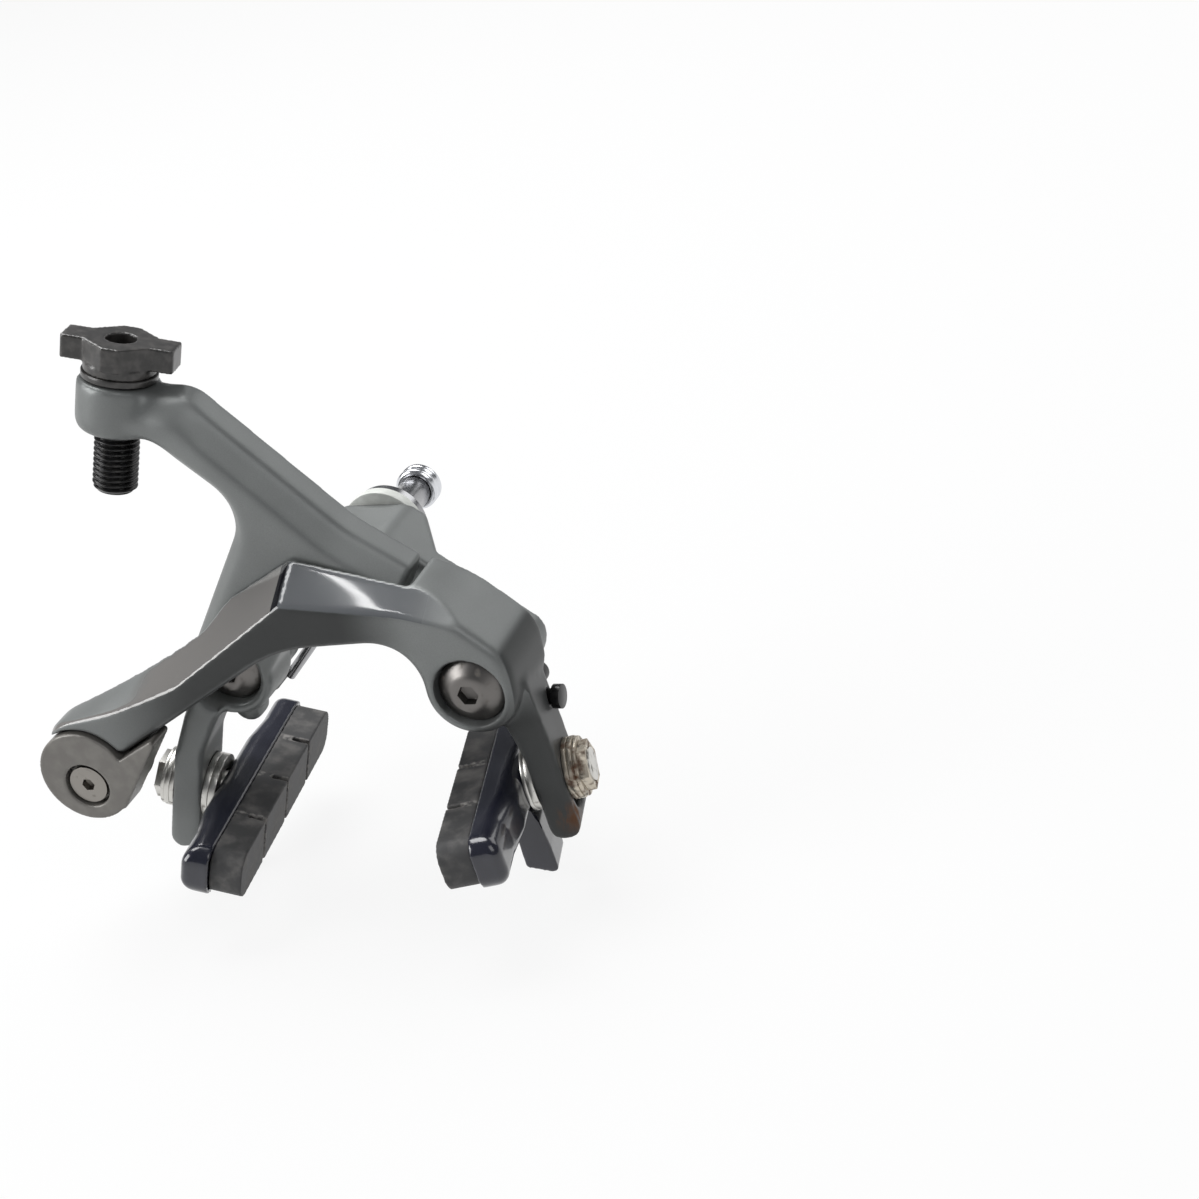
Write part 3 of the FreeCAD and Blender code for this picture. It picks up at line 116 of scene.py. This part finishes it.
# %% A socket that does arithmetic
class Value:
    """A shader socket whose sums, products and powers are Math nodes."""

    def __init__(self, tree, socket):
        self.tree, self.socket = tree, socket

    def math(self, operation, first, second):
        node = self.tree.nodes.new("ShaderNodeMath")
        node.operation = operation
        for item, slot in zip((first, second), node.inputs):
            join(self.tree, item, slot)
        return Value(self.tree, node.outputs[0])

    def __add__(self, other):
        return self.math("ADD", self, other)

    def __sub__(self, other):
        return self.math("SUBTRACT", self, other)

    def __rsub__(self, other):
        return self.math("SUBTRACT", other, self)

    def __mul__(self, other):
        return self.math("MULTIPLY", self, other)

    def __abs__(self):
        return self.math("ABSOLUTE", self, 0.0)

    def __or__(self, other):
        return self.math("MAXIMUM", self, other)

    def __and__(self, other):
        return self.math("MINIMUM", self, other)

    __radd__ = __add__
    __rmul__ = __mul__


def join(tree, item, slot):
    """Link a Value to a node's input, or set the input to a plain number, vector or colour."""
    if isinstance(item, Value):
        tree.links.new(item.socket, slot)
    elif slot.type == "RGBA":
        slot.default_value = tuple(item) + (1.0,)
    else:
        slot.default_value = item


# %% A finish and its nodes
class Finish:
    """A material: constants go straight on its shader, and what varies is made of nodes."""

    def __init__(self, name, **constants):
        self.material = bpy.data.materials.new(name)
        self.material.use_nodes = True
        self.tree = self.material.node_tree
        self.shader = self.tree.nodes["Principled BSDF"]
        self.feed(**constants)
        metres = self.node("ShaderNodeTexCoord", {}, {}, "Object")
        self.place = self.node("ShaderNodeVectorMath", {"operation": "SCALE"}, {0: metres, 3: 1 / MM})
        self.x, self.y, self.z = self.split(self.place)

    def feed(self, **sockets):
        """Set or link the shader's sockets, named in lower case."""
        for name, item in sockets.items():
            join(self.tree, item, self.shader.inputs[name.replace("_", " ").title().replace("Ior", "IOR")])

    def node(self, kind, settings, sockets, output=0):
        node = self.tree.nodes.new(kind)
        for key, setting in settings.items():
            setattr(node, key, setting)
        for key, item in sockets.items():
            join(self.tree, item, node.inputs[key])
        return Value(self.tree, node.outputs[output])

    def split(self, vector):
        return [self.node("ShaderNodeSeparateXYZ", {}, {0: vector}, axis) for axis in "XYZ"]

    def noise(self, size, detail=3.0, stretch=(1, 1, 1)):
        """Cloudy noise from 0 to 1 whose patches are about this many millimetres across."""
        stretched = self.node(
            "ShaderNodeVectorMath", {"operation": "MULTIPLY"}, {0: self.place, 1: stretch})
        return self.node(
            "ShaderNodeTexNoise", {}, {"Vector": stretched, "Scale": 1 / size, "Detail": detail})

    def step(self, value, low, high):
        """A smooth step from 0 at low to 1 at high."""
        return self.node("ShaderNodeMapRange", {"interpolation_type": "SMOOTHSTEP"}, {
            "Value": value, "From Min": low, "From Max": high})

    def blend(self, mask, first, second):
        """One colour turning into another where the mask goes from 0 to 1."""
        return self.node("ShaderNodeMix", {"data_type": "RGBA"}, {0: mask, 6: first, 7: second}, 2)

    def near(self, centre, inner, outer):
        """A mask that is 1 within a distance of a point, in millimetres, and fades out."""
        gap = self.node("ShaderNodeVectorMath", {"operation": "DISTANCE"}, {0: self.place, 1: centre}, 1)
        return 1 - self.step(gap, inner, outer)

    def along(self, axis):
        """Distance along a direction from the origin, in millimetres."""
        return self.node("ShaderNodeVectorMath", {"operation": "DOT_PRODUCT"}, {0: self.place, 1: axis}, 1)

    def facing(self):
        """The surface's own normal, as three values in the brake's frame."""
        return self.split(self.node("ShaderNodeTexCoord", {}, {}, "Normal"))

    def grain(self, height, depth, strength=1.0):
        """Bump whose height is a value from 0 to 1 and whose depth is in millimetres."""
        self.feed(normal=self.node("ShaderNodeBump", {}, {
            "Height": height, "Distance": depth * MM, "Strength": strength}))


print("shader helpers are ready")

# %% [markdown]
# ## The grey paint of the arms
# Both arms and the bracket are forged aluminium under a satin, dark grey paint with fine metal flake.
# Flake is a noise far finer than the piece, and a broader noise keeps large faces from looking flat.
# The two panels on top of the front arm are polished instead: there the paint is darker and has a clear
# coat. They are found by the surface's own normal, because only they look up and forward. Painted shade
# darkens the arch's faces that look forward and the faces that look down or right, and the leg is darkened
# too.

# %% Satin paint
PAINT, PAINT_DARK = (0.2, 0.209, 0.206), (0.155, 0.162, 0.16)
PAINT_METAL = 0.4
FLAKE_SIZE, CLOUD_SIZE = 0.12, 14.0


def satin_paint(name):
    """Grey metallic paint; returns the finish with its colour and roughness still open to changes."""
    finish = Finish(name, metallic=PAINT_METAL, specular_ior_level=0.25, coat_roughness=0.05)
    flake = finish.noise(FLAKE_SIZE, 2.0)
    cloud = finish.noise(CLOUD_SIZE, 2.0)
    tone = finish.step(flake * 0.5 + cloud * 0.5, 0.3, 0.7)
    finish.colour = finish.blend(tone, PAINT_DARK, PAINT)
    finish.gloss = 0.36 + 0.1 * cloud
    finish.grain(flake, 0.012, 0.35)
    return finish


arm_paint = satin_paint("arm_paint")
arm_paint.feed(base_color=arm_paint.colour, roughness=arm_paint.gloss)
print("made", arm_paint.material.name)

# %% Polished panels and painted shade of the front arm
APEX_X, KINK_WIDTH = -5.5, 1.5
PANEL, BAR_PANEL, KINK = (0.1, 0.105, 0.112), (0.15, 0.144, 0.138), (0.006, 0.006, 0.008)
LOOKS_UP, LOOKS_FORWARD, PANEL_END = (0.42, 0.52), (0.28, 0.38), (14.0, 26.0)
PANEL_ROUGHNESS, PANEL_COAT = 0.16, 0.9
# SHADE is the colour of the painted shade on the front arm's faces that look forward, down and right; the
# leg below LEG_TOP is darkened with it too.
SHADE = (0.026, 0.027, 0.027)
FACES_FRONT, FACES_DOWN, FACES_RIGHT = (0.6, 0.95), (0.3, 0.7), (0.73, 0.86)
ARCH_LEFT, ARCH_RIGHT = (-46.0, -24.0), (4.0, 18.0)
LEG_LEFT, LEG_TOP = (22.0, 26.0), (-24.0, -14.0)
SHADE_SHARE, LEG_SHARE, RIGHT_SHARE = 0.92, 0.9, 0.85
RUST, RUST_DARK = (0.13, 0.058, 0.026), (0.055, 0.027, 0.014)
RUST_SPOT, RUST_REACH = (36.6, -28.5, -44.0), (1.0, 4.5)


def front_arm_paint():
    """Satin paint with two polished panels, painted shade facing forward, down and right, a dark leg, and a
    little rust at the foot.
    """
    finish = satin_paint("front_arm_paint")
    normal, step, x = finish.facing(), finish.step, finish.x
    forward = -1 * normal[1]
    panel = step(normal[2], *LOOKS_UP) * step(forward, *LOOKS_FORWARD) * (1 - step(x, *PANEL_END))
    arch = step(x, *ARCH_LEFT) * (1 - step(x, *ARCH_RIGHT))
    # Painted shade: the arch's faces that look forward, and every face that looks down.
    front_down_shade = step(forward, *FACES_FRONT) * arch | step(-1 * normal[2], *FACES_DOWN)
    leg = step(x, *LEG_LEFT) * (1 - step(finish.z, *LEG_TOP))
    # Painted shade on the faces that look to the right.
    side = step(normal[0], *FACES_RIGHT)
    # All of the painted shade, with the leg darkened as well.
    shaded = (front_down_shade | leg * LEG_SHARE | side * RIGHT_SHARE) * SHADE_SHARE
    kink_gap = abs(x - (APEX_X - KINK_WIDTH / 2))
    kink = panel * (1 - step(kink_gap, KINK_WIDTH * 0.4, KINK_WIDTH * 0.6))
    streaks = finish.noise(1.4, 4.0, (1, 1, 0.4))
    rust = finish.near(RUST_SPOT, *RUST_REACH) * step(streaks, 0.4, 0.6)
    panel_tone = finish.blend(step(x, APEX_X - 1, APEX_X), BAR_PANEL, PANEL)
    colour = finish.blend(shaded, finish.colour, SHADE)
    colour = finish.blend(panel, colour, panel_tone)
    colour = finish.blend(kink, colour, KINK)
    colour = finish.blend(rust, colour, RUST)
    # The painted shade darkens the colour and also lowers metallic, so those faces reflect less of the
    # bright floor.
    finish.feed(
        base_color=colour,
        roughness=(finish.gloss * (1 - panel) + PANEL_ROUGHNESS * panel) | (rust * 0.8),
        metallic=PAINT_METAL * (1 - (rust | panel | shaded)), coat_weight=PANEL_COAT * panel)
    return finish


arm_panel_paint = front_arm_paint()
print("made", arm_panel_paint.material.name)

# %% [markdown]
# ## Dark fittings
# The release lever is satin grey-brown, the winged knob is nearly black, the adjuster's thread is black
# oxide and the pad shoes are glossy navy black. They differ in colour, in how rough they are and in their
# coat, so one function with those few values makes them all, with handling marks from noise. The pale
# spacer behind the bracket has the same kind of finish.

# %% Fittings
def fitting(name, colour, worn, rough, metal, coat, mark_size):
    """A plain finish that is mottled between two colours and a little rougher in places."""
    finish = Finish(name, metallic=metal, coat_weight=coat, coat_roughness=0.08)
    marks = finish.noise(mark_size, 5.0)
    finish.feed(
        base_color=finish.blend(finish.step(marks, 0.35, 0.75), colour, worn),
        roughness=rough + 0.14 * finish.noise(mark_size * 3))
    finish.grain(finish.noise(0.25, 2.0), 0.01, 0.3)
    return finish.material


lever_satin = fitting("lever_satin", (0.135, 0.128, 0.118), (0.165, 0.158, 0.145), 0.34, 0.35, 0.1, 2.5)
knob_satin = fitting("knob_satin", (0.022, 0.021, 0.02), (0.06, 0.056, 0.053), 0.28, 0.1, 0.2, 1.8)
black_oxide = fitting("black_oxide", (0.012, 0.012, 0.013), (0.03, 0.029, 0.028), 0.22, 0.6, 0.0, 0.8)
shoe_gloss = fitting("shoe_gloss", (0.010, 0.011, 0.020), (0.020, 0.021, 0.032), 0.16, 0.0, 0.5, 6.0)
pale_washer = fitting("pale_washer", (0.6, 0.615, 0.58), (0.7, 0.71, 0.68), 0.4, 0.0, 0.0, 2.0)
slider_black = fitting("slider_black", (0.02, 0.02, 0.02), (0.035, 0.035, 0.035), 0.45, 0.0, 0.0, 1.5)
print("made the fittings' finishes")

# %% [markdown]
# ## Bare metal, dirt and rust
# Bolts, washers and nuts are bare steel. Turned steel is never one even colour: dirt darkens it in patches
# and makes it rougher, and on this brake the outer nut of the right pad has rusted. Dirt is a mask made
# of noise that lowers metallic, and rust is the same idea with its own colour.

# %% Steel
DIRT = (0.13, 0.118, 0.1)


def steel(name, colour, rough, dirt, rust):
    """Bare metal with shares of dirt and rust from 0 to 1."""
    finish = Finish(name)
    patches = finish.noise(1.6, 3.0)
    dirty = finish.step(patches, 0.7 - 0.4 * dirt, 0.95 - 0.4 * dirt)
    rusty = finish.step(finish.noise(2.2, 3.0), 0.8 - 0.45 * rust, 1.0 - 0.4 * rust)
    rust_tone = finish.blend(finish.noise(0.4), RUST_DARK, RUST)
    metal = finish.blend(dirty, colour, DIRT)
    finish.feed(
        base_color=finish.blend(rusty, metal, rust_tone), metallic=1 - (rusty | (dirty * 0.7)),
        roughness=rough + 0.45 * (dirty | rusty))
    finish.grain(patches, 0.03, 0.4)
    return finish.material


bolt_steel = steel("bolt_steel", (0.36, 0.36, 0.37), 0.22, 0.1, 0.0)
nut_chrome = steel("nut_chrome", (0.7, 0.71, 0.74), 0.22, 0.05, 0.0)
washer_steel = steel("washer_steel", (0.6, 0.59, 0.56), 0.34, 0.4, 0.1)
rusty_steel = steel("rusty_steel", (0.52, 0.47, 0.39), 0.36, 0.5, 0.75)
anchor_steel = steel("anchor_steel", (0.27, 0.255, 0.235), 0.3, 0.3, 0.0)
head_steel = steel("head_steel", (0.165, 0.157, 0.15), 0.36, 0.3, 0.25)
bush_brass = steel("bush_brass", (0.58, 0.42, 0.17), 0.3, 0.2, 0.0)
print("made the bare metals")

# %% [markdown]
# ## Rubber
# The pads are dull black rubber that has worn against a rim, so they are dusty: the dust lies in patches
# and gathers along the edges of the slits. The slits stand square across the pad, at an even pitch, so the
# distance along the pad is measured in the pad's own direction, which comes from its mesh.

# %% Rubber with dusty slits
SLIT_PITCH = 13.0
RUBBER, DUST = (0.042, 0.042, 0.043), (0.2, 0.191, 0.182)


def long_axis(node):
    """Middle of a node, in millimetres, and the direction in which it is longest."""
    points = np.array([vertex.co for vertex in frame["nodes"][node].data.vertices]) / MM
    middle = (points.min(0) + points.max(0)) / 2
    directions = np.linalg.eigh(np.cov((points - middle).T))[1]
    return Vector(middle), Vector(directions[:, 2])


def pad_rubber(node):
    """Dusty rubber for one pad, with dust along its slits."""
    finish = Finish(node + "_rubber", specular_ior_level=0.35)
    middle, axis = long_axis(node)
    run = finish.along(axis) - middle.dot(axis)
    slit_gap = abs(run)
    for number in (-1, 1):
        slit_gap = slit_gap & abs(run - number * SLIT_PITCH)
    edge = 1 - finish.step(slit_gap, 0.5, 1.1)
    dust = finish.step(finish.noise(4.0, 6.0), 0.4, 0.75) * 0.55
    dusty = dust | (edge * finish.step(finish.noise(1.2, 4.0), 0.4, 0.6))
    finish.feed(
        base_color=finish.blend(dusty, RUBBER, DUST),
        roughness=0.55 + 0.3 * dust)
    finish.grain(finish.noise(0.3, 3.0), 0.03, 0.5)
    return finish.material


print("rubber runs along", [round(c, 2) for c in long_axis("left_brake_pad")[1]])

# %% [markdown]
# ## Forged pieces
# A forging has no sharp edges: every corner is blended, and the paint makes it softer still. The CAD solid
# has the right form with crisp edges. Its copy is remeshed into small even cells and smoothed, which rounds
# each edge by a few cells and leaves the broad faces where they were. Where the rear arm's neck runs into
# the adjuster's boss, two forms flow together, so that place is smoothed much more.

# %% Soften a copy of a CAD piece
def welded_copy(node):
    """A copy of a node's mesh whose faces share their corners, as a new object."""
    mesh = frame["nodes"][node].data.copy()
    build = bmesh.new()
    build.from_mesh(mesh)
    bmesh.ops.remove_doubles(build, verts=build.verts, dist=0.002 * MM)
    build.to_mesh(mesh)
    build.free()
    piece = bpy.data.objects.new(node + "_skin", mesh)
    scene.collection.objects.link(piece)
    return piece


def bake_modifiers(piece):
    """Turn a piece's modifiers into its mesh."""
    graph = bpy.context.evaluated_depsgraph_get()
    piece.data = bpy.data.meshes.new_from_object(piece.evaluated_get(graph))
    piece.modifiers.clear()


def stand_for(piece, node, material):
    """Dress a piece in a material and let it take a node's place on its body."""
    piece.data.materials.clear()
    piece.data.materials.append(material)
    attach(piece, frame["nodes"][node]["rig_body"])
    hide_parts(node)


def forged(node, material, cell, passes):
    """Remesh a copy of a node into cells of this size, smooth it and put it in the node's place."""
    piece = welded_copy(node)
    remesh = piece.modifiers.new("cells", "REMESH")
    remesh.mode, remesh.voxel_size, remesh.use_smooth_shade = "VOXEL", cell * MM, True
    smooth = piece.modifiers.new("soften", "SMOOTH")
    smooth.factor, smooth.iterations = 0.5, passes
    bake_modifiers(piece)
    stand_for(piece, node, material)
    print(node, "has", len(piece.data.polygons), "faces")
    return piece


# %% Melt one place of a forged piece
def melted(piece, centre, reach, passes):
    """Smooth a piece much more round a point, in millimetres, where two of its forms flow together."""
    inner, outer = reach
    group = piece.vertex_groups.new(name="melt")
    for vertex in piece.data.vertices:
        gap = (vertex.co / MM - Vector(centre)).length
        if gap < outer:
            group.add([vertex.index], min(1.0, (outer - gap) / (outer - inner)), "REPLACE")
    smooth = piece.modifiers.new("melt", "SMOOTH")
    smooth.factor, smooth.iterations, smooth.vertex_group = 0.5, passes, group.name
    bake_modifiers(piece)


# %% Arms, bracket, lever and knob
ARM_CELL, FITTING_CELL, SHOE_CELL, PAD_CELL = 0.42, 0.25, 0.28, 0.22
NECK_ROOT, NECK_REACH, NECK_PASSES = (-24.5, -27.5, 34.0), (3.5, 8.0), 160
forged("front_arm", arm_panel_paint.material, ARM_CELL, 20)
rear_arm = forged("rear_arm", arm_paint.material, ARM_CELL, 36)
melted(rear_arm, NECK_ROOT, NECK_REACH, NECK_PASSES)
forged("arch_bracket", arm_paint.material, ARM_CELL, 12)
forged("release_lever", lever_satin, FITTING_CELL, 4)
forged("adjuster_knob", knob_satin, FITTING_CELL, 4)
for side in ("left", "right"):
    forged(side + "_pad_holder", shoe_gloss, SHOE_CELL, 4)
    forged(side + "_brake_pad", pad_rubber(side + "_brake_pad"), PAD_CELL, 2)

# %% [markdown]
# ## Turned and pressed pieces
# Bolts, washers and nuts keep the CAD shape. A narrow bevel is added to a copy, because a real edge always
# catches a thin line of light, and that line is what makes small metal parts look like metal.

# %% Bevelled copies
BEVEL_WIDTH = 0.12
BEVEL_ANGLE, SHARP_ANGLE = math.radians(35), math.radians(40)


def eased(node, material, width):
    """Bevel the edges of a copy of a node and put it in the node's place."""
    piece = welded_copy(node)
    bevel = piece.modifiers.new("edges", "BEVEL")
    bevel.width, bevel.segments, bevel.limit_method = width * MM, 2, "ANGLE"
    bevel.angle_limit = BEVEL_ANGLE
    bake_modifiers(piece)
    for face in piece.data.polygons:
        face.use_smooth = True
    piece.data.set_sharp_from_angle(angle=SHARP_ANGLE)
    stand_for(piece, node, material)


SMALL_PIECES = {
    "center_bolt": bolt_steel, "spacer_washer": pale_washer, "mounting_nut": nut_chrome,
    "left_pivot_bolt": head_steel, "right_pivot_bolt": head_steel, "centring_screw": black_oxide,
    "anchor_bolt": anchor_steel, "cable_clamp": anchor_steel, "anchor_nut": anchor_steel,
    "adjuster_ring": knob_satin, "roller_pin": bolt_steel, "link_roller": slider_black,
    "left_pivot_bush": bush_brass, "right_pivot_bush": bush_brass,
    "left_spring_slider": slider_black, "right_spring_slider": slider_black,
}
for side, outer in (("left", washer_steel), ("right", rusty_steel)):
    for piece_name in ("inner_cup", "inner_dome", "pad_stud", "pad_keeper"):
        SMALL_PIECES[side + "_" + piece_name] = washer_steel
    for piece_name in ("outer_cup", "outer_dome", "pad_nut"):
        SMALL_PIECES[side + "_" + piece_name] = outer
for node, material in SMALL_PIECES.items():
    eased(node, material, BEVEL_WIDTH)
print("bevelled", len(SMALL_PIECES), "small pieces")

# %% [markdown]
# ## The adjuster's thread
# The barrel hangs below its boss with its thread in plain view. A thread is a surface whose radius rises
# and falls once a pitch, and whose phase moves round with the angle. So the barrel is a grid of rings: its
# outer rings follow the thread, and a few plain rings close the chamfer, the top and the hollow inside.

# %% Threaded barrel
THREAD_PITCH, THREAD_RADIUS, THREAD_DEPTH = 1.0, 4.0, 0.55
BARREL_CHAMFER = 0.8
CABLE_RADIUS, FERRULE_RADIUS, FERRULE_DEPTH = 1.1, 2.7, 3.0
ROUND_STEPS, PITCH_STEPS = 48, 10


def thread_radius(height, share):
    """Radius of the thread at a height and a share of a turn: flat crests and V-shaped grooves."""
    phase = (height / THREAD_PITCH - share) % 1.0
    groove = max(0.0, 1 - abs(phase - 0.5) / 0.4)
    end_room = min(height, BARREL_CHAMFER) / BARREL_CHAMFER
    return THREAD_RADIUS - (1 - end_room) * BARREL_CHAMFER - THREAD_DEPTH * groove * end_room


def ring_of(build, height, radius_at, axes):
    """One ring of corners round the barrel's axis."""
    foot, across, away, along = axes
    ring = []
    for number in range(ROUND_STEPS):
        share = number / ROUND_STEPS
        radius = radius_at(height, share)
        angle = math.tau * share
        flat = across * math.cos(angle) + away * math.sin(angle)
        ring.append(build.verts.new((foot + along * height + flat * radius) * MM))
    return ring


def threaded_barrel(node, material):
    """Build the barrel round the CAD barrel's own axis and put it in the node's place."""
    middle, along = long_axis(node)
    along = along if along.z > 0 else -along
    heights = [vertex.co.dot(along) / MM for vertex in frame["nodes"][node].data.vertices]
    length = max(heights) - min(heights)
    across = along.orthogonal().normalized()
    axes = (middle - along * length / 2, across, along.cross(across), along)
    build = bmesh.new()
    plain = [
        (length, FERRULE_RADIUS), (length - FERRULE_DEPTH, FERRULE_RADIUS),
        (length - FERRULE_DEPTH, CABLE_RADIUS), (0.0, CABLE_RADIUS),
    ]
    steps = round(length / THREAD_PITCH * PITCH_STEPS)
    rings = [ring_of(build, length * i / steps, thread_radius, axes) for i in range(steps + 1)]
    rings += [ring_of(build, height, lambda h, s, r=radius: r, axes) for height, radius in plain]
    for lower, upper in zip(rings, rings[1:] + rings[:1]):
        for i in range(ROUND_STEPS):
            j = (i + 1) % ROUND_STEPS
            build.faces.new((lower[i], lower[j], upper[j], upper[i])).smooth = True
    bmesh.ops.recalc_face_normals(build, faces=build.faces)
    mesh = bpy.data.meshes.new(node + "_thread")
    build.to_mesh(mesh)
    build.free()
    mesh.set_sharp_from_angle(angle=math.radians(50))
    piece = bpy.data.objects.new(node + "_thread", mesh)
    scene.collection.objects.link(piece)
    stand_for(piece, node, material)
    return piece


barrel = threaded_barrel("adjuster_barrel", black_oxide)
print("thread has", len(barrel.data.polygons), "faces")

# %% [markdown]
# ## What keeps its CAD shape
# The return spring and the toothed washer are nearly out of sight. They keep their CAD mesh and only get
# a better material.

# %% Finish the plain nodes
for node in ("return_spring", "toothed_washer"):
    mesh = frame["nodes"][node].data
    mesh.materials.clear()
    mesh.materials.append(bolt_steel)
print("finished the spring and the toothed washer")

# %% [markdown]
# ## Floor and light
# The photograph has a white ground and the soft, even light of a room, with a bright lamp above that shows
# as a streak on the polished panel. A large soft lamp overhead, weaker ones from three sides and one small
# lamp for the streak give that. The streak lamp stands where the panel mirrors the camera's view. The
# floor's colour is pale, and most of it is seen as white by the camera and by reflections.

# %% Floor
FLOOR_FLAT, FLOOR_SIZE, FLOOR_RISE = 4.0, 12.0, 1.0
FLOOR_WHITE, SEEN_WHITE = 0.6, 0.88


def pale_floor():
    """A flat floor whose far part rises gently, so that no view looks past its end."""
    mesh = bpy.data.meshes.new("floor")
    level = cad_box[0][2]
    corners = []
    for half, rise in ((FLOOR_FLAT / 2, 0.0), (FLOOR_SIZE / 2, FLOOR_RISE)):
        corners += [(x * half, y * half, level + rise) for x, y in ((-1, -1), (1, -1), (1, 1), (-1, 1))]
    rim = [((i + 1) % 4, i, i + 4, (i + 1) % 4 + 4) for i in range(4)]
    mesh.from_pydata(corners, [], [(0, 1, 2, 3)] + rim)
    floor = bpy.data.objects.new("floor", mesh)
    scene.collection.objects.link(floor)
    finish = Finish("floor_pale", base_color=(FLOOR_WHITE,) * 3, roughness=0.9, specular_ior_level=0.1)
    rays = [finish.node("ShaderNodeLightPath", {}, {}, kind) for kind in (
        "Is Camera Ray", "Is Glossy Ray", "Is Transmission Ray")]
    white = finish.node("ShaderNodeEmission", {}, {"Color": (1, 1, 1), "Strength": 1.0})
    seen = (rays[0] | rays[1] | rays[2]) * SEEN_WHITE
    lit = Value(finish.tree, finish.shader.outputs[0])
    shown = finish.node("ShaderNodeMixShader", {}, {0: seen, 1: lit, 2: white})
    output = finish.tree.nodes["Material Output"]
    join(finish.tree, shown, output.inputs["Surface"])
    mesh.materials.append(finish.material)


pale_floor()
print("floor at", round(cad_box[0][2], 4))

# %% Lamps and world
LAMPS = {
    # Each lamp's place and size are in metres and its power is in watts.
    "overhead": ((-0.35, 0.3, 0.85), (0.7, 0.7), 12.0),
    "front_left": ((-0.75, -0.5, 0.45), (0.6, 0.6), 8.5),
    "streak": ((-0.058, -0.06, 0.9), (0.06, 0.014), 0.055),
    "front_right": ((0.6, -0.5, 0.8), (0.6, 0.6), 2.5),
    "back_right": ((0.4, 0.7, 0.5), (0.5, 0.5), 1.6),
}
SKY, SKY_STRENGTH = (0.8, 0.83, 0.87, 1.0), 0.16


def soft_lamp(name, place, aim, size, power):
    """A rectangular lamp at a place in metres, turned towards a point."""
    lamp = bpy.data.lights.new(name, "AREA")
    lamp.shape, lamp.size, lamp.size_y, lamp.energy = "RECTANGLE", size[0], size[1], power
    holder = bpy.data.objects.new(name, lamp)
    holder.location = place
    holder.rotation_euler = (aim - Vector(place)).to_track_quat("-Z", "Y").to_euler()
    scene.collection.objects.link(holder)


brake_middle = (Vector(cad_box[0]) + Vector(cad_box[1])) / 2
for lamp_name, (lamp_place, lamp_size, lamp_power) in LAMPS.items():
    soft_lamp(lamp_name, lamp_place, brake_middle, lamp_size, lamp_power)
world = bpy.data.worlds.new("studio")
scene.world = world
world.use_nodes = True
background = world.node_tree.nodes["Background"]
background.inputs["Color"].default_value = SKY
background.inputs["Strength"].default_value = SKY_STRENGTH
